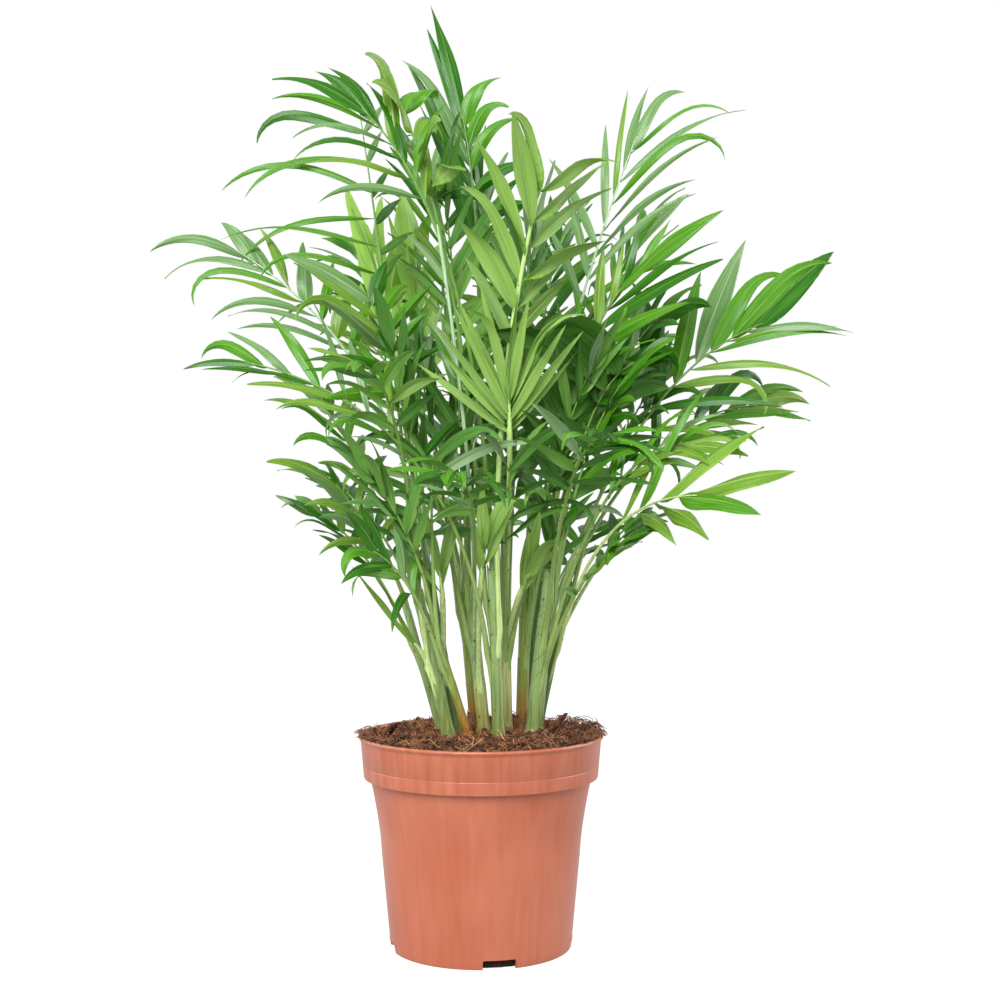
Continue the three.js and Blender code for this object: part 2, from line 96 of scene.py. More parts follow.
def srgb(code):
    """A colour from its sRGB hex code, in linear light."""
    parts = [int(code[i:i + 2], 16) / 255 for i in (1, 3, 5)]
    linear = [c / 12.92 if c <= 0.04045 else ((c + 0.055) / 1.055) ** 2.4 for c in parts]
    return (*linear, 1)


def new_material(name):
    """A material, its node tree and its Principled shader."""
    material = bpy.data.materials.new(name)
    material.use_nodes = True
    return material, material.node_tree, material.node_tree.nodes["Principled BSDF"]


def set_inputs(tree, node, inputs):
    """Sets each of these inputs of a node to its value, or links it to another node's output."""
    for key, value in inputs.items():
        if isinstance(value, bpy.types.NodeSocket):
            tree.links.new(value, node.inputs[key])
        else:
            node.inputs[key].default_value = value


def add_node(tree, kind, inputs=None, stops=(), **settings):
    """Adds a node with its settings, its inputs and, if it has any, its stops of colour."""
    node = tree.nodes.new(kind)
    for key, value in settings.items():
        setattr(node, key, value)
    for number, (position, code) in enumerate(stops):
        ramp = node.color_ramp.elements
        stop = ramp[number] if number < len(ramp) else ramp.new(position)
        stop.position, stop.color = position, srgb(code)
    set_inputs(tree, node, inputs or {})
    return node


def make_piece(name, points, faces, materials, slots=None, crease=None):
    """A smooth mesh object from points in millimetres, sharp where it bends by more than crease."""
    mesh = bpy.data.meshes.new(name)
    mesh.from_pydata((np.asarray(points, float) * MM).tolist(), [], faces, shade_flat=False)
    for material in materials:
        mesh.materials.append(material)
    if slots is not None:
        mesh.polygons.foreach_set("material_index", slots)
    if crease is not None:
        mesh.set_sharp_from_angle(angle=math.radians(crease))
    mesh.update()
    piece = bpy.data.objects.new(name, mesh)
    bpy.context.scene.collection.objects.link(piece)
    return piece


def on_circle(radius, turn, height):
    """A point at a radius from the Z axis, an angle round it and a height."""
    return radius * math.cos(turn), radius * math.sin(turn), height


def turned(outline, segments):
    """A closed body turned about Z, from an outline that starts and ends on the axis."""
    points, rings, faces = [], [], []
    for radius, height in outline:
        count = segments if radius > 0 else 1
        rings.append(range(len(points), len(points) + count))
        points += [on_circle(radius, 2 * math.pi * i / segments, height) for i in range(count)]
    for low, high in zip(rings, rings[1:]):
        for i in range(segments):
            j = (i + 1) % segments
            corners = (low[i % len(low)], low[j % len(low)], high[j % len(high)], high[i % len(high)])
            faces.append(list(dict.fromkeys(corners)))
    return np.array(points), faces


def wall_radius(height):
    """The outer wall: straight up to the waist, then flaring faster up to the shoulder."""
    if height <= WAIST_HEIGHT:
        return BASE_RADIUS + (WAIST_RADIUS - BASE_RADIUS) * height / WAIST_HEIGHT
    share = (height - WAIST_HEIGHT) / (BAND_HEIGHT - WAIST_HEIGHT)
    return WAIST_RADIUS + (SHOULDER_RADIUS - WAIST_RADIUS) * share ** FLARE_POWER


def round_corner(centre, radius, start, stop, steps):
    """Points of an arc in the outline, between two angles in degrees."""
    turns = np.radians(np.linspace(start, stop, steps))
    return [(centre[0] + radius * math.cos(t), centre[1] + radius * math.sin(t)) for t in turns]


def pot_outline():
    """Out along the underside, up the outside, over the lip and down the inside."""
    under = [(0, GATE_DEPTH), (GATE_RADIUS, GATE_DEPTH), (GATE_RADIUS + 0.6, 0), (PAD_RADIUS, 0)]
    under += [(PAD_RADIUS + GROOVE_DEPTH, GROOVE_DEPTH), (FOOT_RING_RADIUS - 1, GROOVE_DEPTH)]
    under += [(FOOT_RING_RADIUS, GROOVE_DEPTH - 1), (FOOT_RING_RADIUS + 0.3, 0.4)]
    under += [(FOOT_RING_RADIUS + 0.8, 0)]
    under += round_corner((BASE_RADIUS - 1, 1), 1, -90, 0, 5)
    foot = [(wall_radius(SEAM_HEIGHT - 0.6) + 0.35, SEAM_HEIGHT - 0.6)]
    foot += [(wall_radius(SEAM_HEIGHT) + 0.3, SEAM_HEIGHT - 0.1)]
    foot += [(wall_radius(SEAM_HEIGHT), SEAM_HEIGHT)]
    body = [(wall_radius(z), z) for z in np.linspace(SEAM_HEIGHT + 2, BAND_HEIGHT - 2, 22)]
    shoulder = [(SHOULDER_RADIUS, BAND_HEIGHT - 1), (SHOULDER_RADIUS + 0.3, BAND_HEIGHT - 0.4)]
    shoulder += [(SHOULDER_RADIUS + 1, BAND_HEIGHT)]
    shoulder += round_corner((BAND_RADIUS - 0.8, BAND_HEIGHT + 0.8), 0.8, -90, -5, 5)
    # a fine moulded line runs round the band
    line = BAND_HEIGHT + BAND_LINE
    band = [(BAND_RADIUS + 0.7, line - 0.4), (BAND_RADIUS + 0.45, line)]
    band += [(BAND_RADIUS + 0.75, line + 0.4), (LIP_RADIUS - 1.6, POT_HEIGHT - 4.6)]
    lip = [(LIP_RADIUS - 1.3, POT_HEIGHT - 3.4)]
    lip += round_corner((LIP_RADIUS - 1.1, POT_HEIGHT - LIP_ROUND), LIP_ROUND, -50, 90, 9)
    lip += [(LIP_RADIUS - 1.9, POT_HEIGHT - 0.3), (LIP_RADIUS - 2.5, POT_HEIGHT - 1.4)]
    inside = [(BAND_RADIUS - POT_WALL, BAND_HEIGHT + 1), (SHOULDER_RADIUS - POT_WALL, BAND_HEIGHT - 2)]
    inside += [(wall_radius(z) - POT_WALL, z) for z in np.linspace(BAND_HEIGHT - 8, POT_FLOOR, 12)]
    floor = [(PAD_RADIUS + 2, POT_FLOOR), (PAD_RADIUS - 2, PAD_TOP), (0, PAD_TOP)]
    return under + foot + body + shoulder + band + lip + inside + floor


def slot_cutter(angle):
    """A bar with round upper corners, which cuts one drain slot through the foot."""
    half = SLOT_WIDTH / 2
    outline = [(-half, -2)]
    for side in (-1, 1):
        centre = (side * (half - SLOT_CORNER), SLOT_HEIGHT - SLOT_CORNER)
        turns = (180, 90) if side < 0 else (90, 0)
        outline += round_corner(centre, SLOT_CORNER, *turns, 5)
    outline.append((half, -2))
    count = len(outline)
    points = [(reach, y, z) for reach in (SLOT_INNER_RADIUS, LIP_RADIUS) for y, z in outline]
    faces = [[i, (i + 1) % count, count + (i + 1) % count, count + i] for i in range(count)]
    faces += [list(range(count))[::-1], list(range(count, 2 * count))]
    cutter = make_piece("slot_cutter", points, faces, [])
    cutter.data.transform(Matrix.Rotation(math.radians(angle), 4, "Z"))
    tidy = bmesh.new()
    tidy.from_mesh(cutter.data)
    bmesh.ops.recalc_face_normals(tidy, faces=tidy.faces)
    tidy.to_mesh(cutter.data)
    tidy.free()
    return cutter


def polypropylene():
    """Terracotta-coloured polypropylene, moulded: satin, with upright flow streaks and fine grain."""
    material, tree, shader = new_material("moulded_polypropylene")
    place = add_node(tree, "ShaderNodeTexCoord").outputs["Object"]
    # flow streaks about 5 mm wide and 200 mm long, over slow clouds of about 60 mm
    upright = add_node(tree, "ShaderNodeMapping", {"Vector": place, "Scale": (200, 200, 5)})
    streaks = add_node(
        tree, "ShaderNodeTexNoise", {"Vector": upright.outputs[0], "Scale": 1, "Detail": 3},
    )
    clouds = add_node(tree, "ShaderNodeTexNoise", {"Vector": place, "Scale": 16, "Detail": 1})
    # on the band the upright streaks count for more, and the slow clouds for less, than on the wall
    height = add_node(tree, "ShaderNodeSeparateXYZ", {"Vector": place}).outputs["Z"]
    on_band = add_node(tree, "ShaderNodeMapRange", {
        "Value": height, "From Min": (BAND_HEIGHT - 3) * MM, "From Max": (BAND_HEIGHT + 2) * MM,
        "To Min": 0.4, "To Max": 0.9,
    })
    blend = add_node(
        tree, "ShaderNodeMix", {0: on_band.outputs[0], 2: clouds.outputs[0], 3: streaks.outputs[0]},
        data_type="FLOAT",
    )
    colours = add_node(
        tree, "ShaderNodeValToRGB", {"Fac": blend.outputs[0]}, [(0.28, "#994c32"), (0.72, "#ab644a")],
    )
    shine = add_node(
        tree, "ShaderNodeMapRange", {"Value": streaks.outputs[0], "To Min": 0.26, "To Max": 0.42},
    )
    # mould grain of about 0.6 mm
    grain = add_node(tree, "ShaderNodeTexNoise", {"Vector": place, "Scale": 1600, "Detail": 2})
    bump = add_node(
        tree, "ShaderNodeBump", {"Height": grain.outputs[0], "Strength": 0.12, "Distance": 0.0002},
    )
    set_inputs(tree, shader, {
        "Base Color": colours.outputs["Color"], "Roughness": shine.outputs[0],
        "Normal": bump.outputs[0], "IOR": 1.49,
    })
    return material


pot_points, pot_faces = turned(pot_outline(), POT_SEGMENTS)
for point in pot_points:
    off_axis = point[0] or point[1]
    around = Vector(point[:2]).normalized() * RIPPLES_AROUND if off_axis else Vector((0, 0))
    if point[2] > SEAM_HEIGHT + 1:
        point[:2] *= 1 + POT_RIPPLE * noise.noise((*around, point[2] / RIPPLE_RISE)) / LIP_RADIUS
    if point[2] > POT_HEIGHT - 2:
        point[2] += LIP_RIPPLE * noise.noise((*(around * 2), 0))
pot = make_piece("pot_shell", pot_points, pot_faces, [polypropylene()])
cutters = [slot_cutter(SLOT_ANGLE + i * 360 / SLOT_COUNT) for i in range(SLOT_COUNT)]
for cutter in cutters:
    cut = pot.modifiers.new("drain_slot", "BOOLEAN")
    cut.operation = "DIFFERENCE"
    cut.object = cutter
pot_seen = pot.evaluated_get(bpy.context.evaluated_depsgraph_get())
pot_cut = bpy.data.meshes.new_from_object(pot_seen)
pot.modifiers.clear()
pot.data = pot_cut
pot.data.set_sharp_from_angle(angle=math.radians(POT_CREASE))
for cutter in cutters:
    bpy.data.objects.remove(cutter)
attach(pot, "root")
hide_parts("pot")

# ---------------------------------------------------------------- soil
# The root ball: damp coir and peat that fills the pot and mounds a little over its rim, with
# crumbs, bark, tangled coir fibres and a few pale old roots lying on it.

SOIL_TOP = 149
SOIL_FALL = 6
SOIL_CROWN_RADIUS = 50
SOIL_RADIUS = 82.4
SOIL_GAP = 0.5
SOIL_LUMPS = [(2.6, 15), (1.6, 6), (0.9, 2.4)]  # the height and the width of each size
BALL_LEVELS = (BAND_HEIGHT + 3, BAND_HEIGHT - 3, WAIST_HEIGHT, 16, POT_FLOOR + 0.4)
SOIL_RINGS = 64
SOIL_SEGMENTS = 240
CRUMB_COUNT = 1500
PERLITE_COUNT = 16
FIBRE_COUNT = 2400
FIBRE_LENGTH = (6, 26)
FIBRE_BEND = 1.6
FIBRE_LIFT = 5
RIM_FIBRE_COUNT = 380
RIM_FIBRE_RIGHT_SHARE = 0.75
# the fibres over the right and the left of the rim: where they stand, its scatter, their height
RIM_FIBRES_RIGHT = (8, 26, 6)
RIM_FIBRES_LEFT = (186, 12, 3.5)
RIM_FIBRE_REACH = (2, 9)  # how far inside the rim one starts, and how far out it runs
RIM_FIBRE_BEND = 7
RIM_FIBRE_LEVEL = 146
RIM_FIBRE_RADIUS = 0.22
# each pale root: its start, heading, length, bend and the lift of its ends
ROOTS = [
    [(-33, -60), -0.9, 42, 1.5, 6],
    [(-16, -70), 0.5, 28, 1.4, 3],
    [(22, -70), 1.5, 28, 1.2, 7],
    [(-8, -74), 0.1, 38, 0.5, 1],
]
ROOT_RADIUS = 0.27
# each chip of bark: its foot, its top and its width
CHIPS = [
    [(44, -20, 148), (59, -14, 163), 4.4],
    [(50, -17, 153), (60, -15, 158), 1.5],
    [(-66, 22, 146), (-52, 26, 152), 3.4],
    [(-58, -30, 147), (-50, -36, 150), 3.0],
    [(20, -62, 149), (33, -60, 150), 2.4],
    [(58, 24, 148), (66, 30, 150), 3.0],
    [(-68, -10, 147), (-57, -14, 156), 4.6],
]
CHIP_STEPS = 12
CHIP_TEAR = 0.45
# each black root hair: its middle, radius, number of turns, rise and phase
CURLS = [
    ((73, 2, 153), 3.8, 1.2, 3, 0.4),
    ((78, 4, 154), 3, 0.8, 2, 2.1),
    ((69, 1, 151), 2.6, 0.7, 4, 4),
]
HAIR_RADIUS = 0.24
PEAT_SPAN = 1.16  # how wide the peat behind a drain slot is, in widths of the slot
PEAT_DEPTH = 3.4
PEAT_LUMP = 0.9
soil_luck = np.random.default_rng(17)


def soil_height(x, y):
    """The height of the soil: a flat mound with lumps of three sizes."""
    past_crown = (math.hypot(x, y) - SOIL_CROWN_RADIUS) / (SOIL_RADIUS - SOIL_CROWN_RADIUS)
    share = min(1, max(0, past_crown))
    height = SOIL_TOP - SOIL_FALL * share * share * (3 - 2 * share)
    for layer, (tall, wide) in enumerate(SOIL_LUMPS, start=1):
        height += tall * noise.noise((x / wide, y / wide, layer))
    return height


def ring_faces(rings, sides, first=0, closed=False):
    """The faces from each ring of points to the next, and from the last to the first if closed."""
    faces = []
    for ring in range(rings if closed else rings - 1):
        low, high = first + ring * sides, first + (ring + 1) % rings * sides
        for i in range(sides):
            j = (i + 1) % sides
            faces.append([low + i, low + j, high + j, high + i])
    return faces


def sweep(path, across, wide, deep, sides):
    """A closed tube along a path: across is the way its width lies, wide and deep its half sizes."""
    path = np.asarray(path, float)
    along = np.gradient(path, axis=0)
    along /= np.linalg.norm(along, axis=1, keepdims=True)
    across = np.broadcast_to(np.asarray(across, float), path.shape)
    across = across - along * np.sum(along * across, axis=1, keepdims=True)
    across /= np.linalg.norm(across, axis=1, keepdims=True)
    up = np.cross(along, across)
    turns = 2 * np.pi * np.arange(sides) / sides
    wide = np.broadcast_to(wide, len(path))[:, None, None]
    deep = np.broadcast_to(deep, len(path))[:, None, None]
    ring = across[:, None] * np.cos(turns)[:, None] * wide
    ring = ring + up[:, None] * np.sin(turns)[:, None] * deep
    points = (path[:, None] + ring).reshape(-1, 3)
    last = (len(path) - 1) * sides
    faces = ring_faces(len(path), sides)
    faces += [list(range(sides))[::-1], list(range(last, last + sides))]
    return points, faces


def joined(parts):
    """Many (points, faces) parts as one."""
    points, faces, start = [], [], 0
    for part_points, part_faces in parts:
        points.append(part_points)
        faces += [[start + i for i in face] for face in part_faces]
        start += len(part_points)
    return np.concatenate(points), faces


def dry_matter(name, dark, light, grain, roughness):
    """Plant matter as it lies in potting soil: matt, fibrous, mottled over grain millimetres."""
    material, tree, shader = new_material(name)
    place = add_node(tree, "ShaderNodeTexCoord").outputs["Object"]
    mottle = add_node(tree, "ShaderNodeTexNoise", {"Vector": place, "Scale": 1000 / grain, "Detail": 4})
    colours = add_node(
        tree, "ShaderNodeValToRGB", {"Fac": mottle.outputs[0]}, [(0.35, dark), (0.68, light)],
    )
    # damp, darker patches of about 25 mm
    patches = add_node(tree, "ShaderNodeTexNoise", {"Vector": place, "Scale": 40, "Detail": 1})
    damp = add_node(tree, "ShaderNodeMapRange", {
        "Value": patches.outputs[0], "From Min": 0.36, "From Max": 0.62, "To Min": 0.55, "To Max": 1.1,
    })
    shaded = add_node(
        tree, "ShaderNodeHueSaturation", {"Color": colours.outputs["Color"], "Value": damp.outputs[0]},
    )
    bump = add_node(
        tree, "ShaderNodeBump", {"Height": mottle.outputs[0], "Strength": 0.6, "Distance": 0.0006},
    )
    set_inputs(tree, shader, {
        "Base Color": shaded.outputs[0], "Normal": bump.outputs[0], "Roughness": roughness,
        "Specular IOR Level": 0.25,
    })
    return material


def soil_body():
    """The mound on top, then down the inside of the pot and across its floor."""
    gap = POT_WALL + SOIL_GAP
    turns = [2 * math.pi * i / SOIL_SEGMENTS for i in range(SOIL_SEGMENTS)]
    points = [(0, 0, soil_height(0, 0))]
    for ring in range(1, SOIL_RINGS + 1):
        for turn in turns:
            x, y, _ = on_circle(SOIL_RADIUS * ring / SOIL_RINGS, turn, 0)
            points.append((x, y, soil_height(x, y)))
    for height in BALL_LEVELS:
        radius = (BAND_RADIUS if height > BAND_HEIGHT else wall_radius(height)) - gap
        points += [on_circle(radius, turn, height) for turn in turns]
    faces = [[0, 1 + i, 1 + (i + 1) % SOIL_SEGMENTS] for i in range(SOIL_SEGMENTS)]
    rings = (len(points) - 1) // SOIL_SEGMENTS
    faces += [[a, d, c, b] for a, b, c, d in ring_faces(rings, SOIL_SEGMENTS, first=1)]
    faces.append(list(range(len(points) - SOIL_SEGMENTS, len(points)))[::-1])
    return points, faces


def crumbs(count, small, large):
    """Uneven lumps of peat and bark, strewn over the mound."""
    ball = bmesh.new()
    bmesh.ops.create_icosphere(ball, subdivisions=2, radius=1)
    shape = np.array([v.co for v in ball.verts])
    faces = [[v.index for v in f.verts] for f in ball.faces]
    ball.free()
    parts = []
    for _ in range(count):
        size = small + (large - small) * soil_luck.random() ** 3
        turn, reach = soil_luck.random() * 2 * math.pi, SOIL_RADIUS * math.sqrt(soil_luck.random())
        reach = min(reach, SOIL_RADIUS - 0.7 * size)
        x, y = reach * math.cos(turn), reach * math.sin(turn)
        lump = shape * soil_luck.uniform(0.65, 1.15, (len(shape), 1)) * soil_luck.uniform(0.5, 1.2, 3)
        spin = np.array(Vector(soil_luck.normal(size=3)).to_track_quat("X", "Z").to_matrix())
        parts.append((lump @ spin.T * size / 2 + (x, y, soil_height(x, y) + size * 0.15), faces))
    return joined(parts)


def strand(start, heading, length, bend, lift, steps=8):
    """A thin fibre that wanders over the soil, with its ends a little off it."""
    x, y = start
    path = []
    for i in range(steps):
        share = i / (steps - 1)
        path.append((x, y, soil_height(x, y) + 0.5 + lift * (2 * share - 1) ** 2))
        x += math.cos(heading) * length / steps
        y += math.sin(heading) * length / steps
        heading += bend / steps
    return path


def fibres(count, thin, thick):
    """Coir fibres in a loose tangle over the whole mound."""
    parts = []
    for _ in range(count):
        turn = soil_luck.random() * 2 * math.pi
        reach = (SOIL_RADIUS - 3) * math.sqrt(soil_luck.random())
        heading, bend = soil_luck.random() * 2 * math.pi, soil_luck.normal() * FIBRE_BEND
        length, lift = soil_luck.uniform(*FIBRE_LENGTH), soil_luck.random() ** 3 * FIBRE_LIFT
        start = (reach * math.cos(turn), reach * math.sin(turn))
        path = strand(start, heading, length, bend, lift)
        path = [point for point in path if math.hypot(*point[:2]) < SOIL_RADIUS]
        if len(path) > 3:
            radius = soil_luck.uniform(thin, thick)
            parts.append(sweep(path, (0.3, 0.2, 1), radius, radius, 4))
    return joined(parts)


def rim_fibres(count):
    """Fibres that stand over the edge of the pot, most of them on the right and a few on the left."""
    parts = []
    for _ in range(count):
        right = soil_luck.random() < RIM_FIBRE_RIGHT_SHARE
        facing, scatter, tallest = RIM_FIBRES_RIGHT if right else RIM_FIBRES_LEFT
        turn = math.radians(soil_luck.normal(facing, scatter))
        reach = SOIL_RADIUS - soil_luck.uniform(*RIM_FIBRE_REACH)
        height = soil_luck.uniform(0.5, tallest)
        out, side = soil_luck.uniform(*RIM_FIBRE_REACH), soil_luck.normal() * RIM_FIBRE_BEND
        path = []
        for share in np.linspace(0, 1, 7):
            radius, off = reach + out * share, side * share * share
            x = radius * math.cos(turn) - off * math.sin(turn)
            y = radius * math.sin(turn) + off * math.cos(turn)
            level = max(soil_height(x, y), RIM_FIBRE_LEVEL)
            path.append((x, y, level + height * math.sin(math.pi * share * 0.8) + 0.6))
        parts.append(sweep(path, (0.2, 0.3, 1), RIM_FIBRE_RADIUS, RIM_FIBRE_RADIUS, 4))
    return joined(parts)


def old_roots():
    """Pale dead roots on the soil."""
    paths = [strand(*root, steps=12) for root in ROOTS]
    return joined([sweep(path, (0.3, 0.2, 1), ROOT_RADIUS, ROOT_RADIUS, 6) for path in paths])


def bark_chip(foot, top, width):
    """A splinter of bark with a torn edge."""
    path = np.linspace(foot, top, CHIP_STEPS)
    path += soil_luck.normal(scale=CHIP_TEAR, size=path.shape)
    taper = np.interp(np.linspace(0, 1, CHIP_STEPS), [0, 0.3, 0.8, 1], [0.8, 1, 0.8, 0.35])
    taper *= soil_luck.uniform(0.75, 1.15, CHIP_STEPS)
    return sweep(path, (0.6, 0.8, 0), width * taper, width * 0.45 * taper, 7)


def slot_peat(angle):
    """Peat behind a drain slot: a curved block just inside the wall, rough on its outer face. Its
    near-black colour is painted shade under the pot.
    """
    half = PEAT_SPAN / 2
    turns = np.radians(angle + np.linspace(-half, half, 17) * math.degrees(SLOT_WIDTH / BASE_RADIUS))
    levels = np.linspace(0.5, SLOT_HEIGHT - 0.2, 6)
    inner = SLOT_INNER_RADIUS
    points = []
    for turn in turns:
        for level in levels:
            reach = inner + PEAT_DEPTH + PEAT_LUMP * noise.noise((turn * 60, level / 1.6, 5))
            points.append(on_circle(reach, turn, level))
        points += [on_circle(inner, turn, level) for level in levels[::-1]]
    size = 2 * len(levels)
    last = (len(turns) - 1) * size
    faces = [[a, d, c, b] for a, b, c, d in ring_faces(len(turns), size)]
    faces += [list(range(size)), list(range(last, last + size))[::-1]]
    return np.array(points), faces


def curl(centre, radius, turns, rise, phase):
    """A hair-thin root that dried in loops."""
    angles = np.linspace(0, 2 * math.pi * turns, 26)
    x = centre[0] + radius * np.cos(angles + phase) + 0.35 * radius * np.sin(2.3 * angles)
    y = centre[1] + 0.6 * radius * np.sin(angles)
    z = centre[2] + rise * angles / angles[-1] + 0.6 * radius * np.sin(angles + phase)
    return sweep(np.stack([x, y, z], axis=1), (0.2, 1, 0.1), HAIR_RADIUS, HAIR_RADIUS, 5)


soil = make_piece("soil_mound", *soil_body(), [dry_matter("damp_peat", "#2b1910", "#6e442d", 3, 0.9)])
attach(soil, "root")
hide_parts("soil")

half_fibres = FIBRE_COUNT // 2
slots_peat = [slot_peat(SLOT_ANGLE + i * 360 / SLOT_COUNT) for i in range(SLOT_COUNT)]
# What lies on the soil and behind the drain slots: its name and shape, and the name, the dark and
# light colours, the grain and the roughness of what it is made of.
LOOSE_PIECES = [
    ("peat_crumbs", crumbs(CRUMB_COUNT, 1.2, 6.5), "peat_crumb", "#26160e", "#533220", 2, 0.9),
    ("bark_crumbs", crumbs(CRUMB_COUNT // 2, 1, 4.2), "composted_bark", "#512e1d", "#8b583b", 2, 0.9),
    ("perlite_grains", crumbs(PERLITE_COUNT, 1, 2.2), "perlite", "#b9a890", "#e2d6c2", 1, 0.9),
    ("coir_fibres_dark", fibres(half_fibres, 0.15, 0.35), "coir_fibre", "#603722", "#8c583a", 4, 0.9),
    ("coir_fibres_light", fibres(half_fibres, 0.12, 0.3), "dry_coir_fibre", "#7c5334", "#ad855e", 4,
     0.9),
    ("rim_fibres", rim_fibres(RIM_FIBRE_COUNT), "frayed_coir", "#633e2b", "#976e4f", 4, 0.9),
    ("old_roots", old_roots(), "dead_root", "#a87848", "#d8b07c", 5, 0.6),
    ("bark_chips", joined([bark_chip(*row) for row in CHIPS]), "torn_bark", "#3c2418", "#75492f", 2,
     0.9),
    # the peat behind the drain slots is near black: peat seen through them, darkened as painted shade
    # under the pot
    ("drain_peat", joined(slots_peat), "wet_peat", "#0e0906", "#2c1b12", 2, 0.9),
    ("root_hairs", joined([curl(*row) for row in CURLS]), "black_root", "#1e1a18", "#4a403a", 3, 0.6),
]
for name, shape, *matter in LOOSE_PIECES:
    piece = make_piece(name, *shape, [dry_matter(*matter)])
    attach(piece, "root")

# ---------------------------------------------------------------- canes
# The living stems: smooth and round, with a brown scar at most nodes, a wider foot that sits on
# its root crown, and a waxy bloom. Each stands where its plain solid stands.

CANE_COUNT = 15
CANE_SIDES = 20
CANE_STEP = 0.8
CANE_TAPER = 0.16
CANE_FLARE = 0.4
FLARE_HEIGHT = 4.5
CANE_SUNK = 3
CANE_SWAY = 0.5
CANE_CREASE = 60
FIRST_NODE = (5, 11)
NODE_SPACING = (11, 21)
NODE_SWELL = 0.38
NODE_HALF_HEIGHT = 0.9
NODE_PINCH = 0.15
PINCH_RISE = 1.8
PINCH_HALF_HEIGHT = 0.8
SCAR_SIZE = (0.15, 0.9)
SCAR_HALF_TURN = 100
SCAR_HALF_HEIGHT = 0.7
# the skin's colours at the foot, a third of the way up and near the top
CANE_SKINS = {
    "waxy": ["#565623", "#637f39", "#7b9555"],
    "cream": ["#7a6a2c", "#7b8c44", "#b6b879"],
    "bronze": ["#8e4210", "#70742e", "#6e863c"],
    "dark": ["#4c4e20", "#41602a", "#48702e"],
}
SCARRED_SHARE = 0.6
SPECK_SPACING = 9
RAMP_STOPS = (0.02, 0.3, 0.9)
CANE_LOOKS = {
    1: "waxy", 2: "dark", 3: "bronze", 4: "bronze", 5: "cream", 6: "waxy", 7: "cream", 8: "bronze",
    9: "waxy", 10: "dark", 11: "dark", 12: "cream", 13: "waxy", 14: "dark", 15: "waxy",
}
cane_luck = np.random.default_rng(5)


def stem_skin(name, codes, low, high):
    """Green plant skin: a ramp of colours up its height, upright streaks, and a thin waxy bloom."""
    material, tree, shader = new_material(name)
    place = add_node(tree, "ShaderNodeTexCoord").outputs["Object"]
    height = add_node(tree, "ShaderNodeSeparateXYZ", {"Vector": place}).outputs["Z"]
    # streaks about 1 mm wide along the stem
    upright = add_node(tree, "ShaderNodeMapping", {"Vector": place, "Scale": (900, 900, 9)})
    streaks = add_node(
        tree, "ShaderNodeTexNoise", {"Vector": upright.outputs[0], "Scale": 1, "Detail": 2},
    )
    rise = add_node(
        tree, "ShaderNodeMapRange", {"Value": height, "From Min": low * MM, "From Max": high * MM},
    )
    wander = add_node(
        tree, "ShaderNodeMath", {0: streaks.outputs[0], 1: 0.5, 2: -0.25}, operation="MULTIPLY_ADD",
    )
    total = add_node(
        tree, "ShaderNodeMath", {0: rise.outputs[0], 1: wander.outputs[0]}, operation="ADD",
    )
    colours = add_node(
        tree, "ShaderNodeValToRGB", {"Fac": total.outputs[0]}, zip(RAMP_STOPS, codes),
    )
    shade = add_node(tree, "ShaderNodeMapRange", {
        "Value": streaks.outputs[0], "From Min": 0.35, "From Max": 0.65, "To Min": 0.82, "To Max": 1.16,
    })
    striped = add_node(
        tree, "ShaderNodeHueSaturation", {"Color": colours.outputs["Color"], "Value": shade.outputs[0]},
    )
    # dry specks of about 1 mm, one in every 9 mm or so
    spots = add_node(tree, "ShaderNodeTexVoronoi", {"Vector": place, "Scale": 1000 / SPECK_SPACING})
    in_speck = add_node(tree, "ShaderNodeMapRange", {
        "Value": spots.outputs["Distance"], "From Min": 0.07, "From Max": 0.14,
        "To Min": 0.85, "To Max": 0,
    })
    specked = add_node(
        tree, "ShaderNodeMix", {0: in_speck.outputs[0], 6: striped.outputs[0], 7: srgb("#54361c")},
        data_type="RGBA",
    )
    bump = add_node(
        tree, "ShaderNodeBump", {"Height": streaks.outputs[0], "Strength": 0.35, "Distance": 0.0003},
    )
    set_inputs(tree, shader, {
        "Base Color": specked.outputs[2], "Normal": bump.outputs[0], "Roughness": 0.28, "IOR": 1.42,
    })
    return material


def cane_ends(node):
    """Where a cane's solid starts and ends, and how thick it is at the top, in millimetres."""
    points = np.array([v.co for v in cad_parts[node].data.vertices]) / MM
    low, high = points[:, 2].min(), points[:, 2].max()
    foot = points[points[:, 2] < low + 0.1].mean(axis=0)
    top_ring = points[points[:, 2] > high - 0.1]
    tip = top_ring.mean(axis=0)
    return foot, tip, np.linalg.norm(top_ring - tip, axis=1).max()


cane_shapes = {number: cane_ends(f"cane_{number}") for number in range(1, CANE_COUNT + 1)}
scar_skin = dry_matter("papery_scar", "#3a2212", "#744c2a", 1.5, 0.75)
cane_skins = {
    look: stem_skin(f"cane_skin_{look}", codes, 150, 250) for look, codes in CANE_SKINS.items()
}


def cane_radius(number, height):
    """The cane's radius at a height above its foot, without the nodes' swelling."""
    foot, tip, top_radius = cane_shapes[number]
    share = min(1, height / (tip[2] - foot[2]))
    taper = 1 + CANE_TAPER - CANE_TAPER * share
    return top_radius * (taper + CANE_FLARE * math.exp(-height / FLARE_HEIGHT))


def cane_point(number, height):
    """The middle of the cane at a height above its foot."""
    foot, tip, _ = cane_shapes[number]
    return foot + (tip - foot) * (height / (tip[2] - foot[2]))


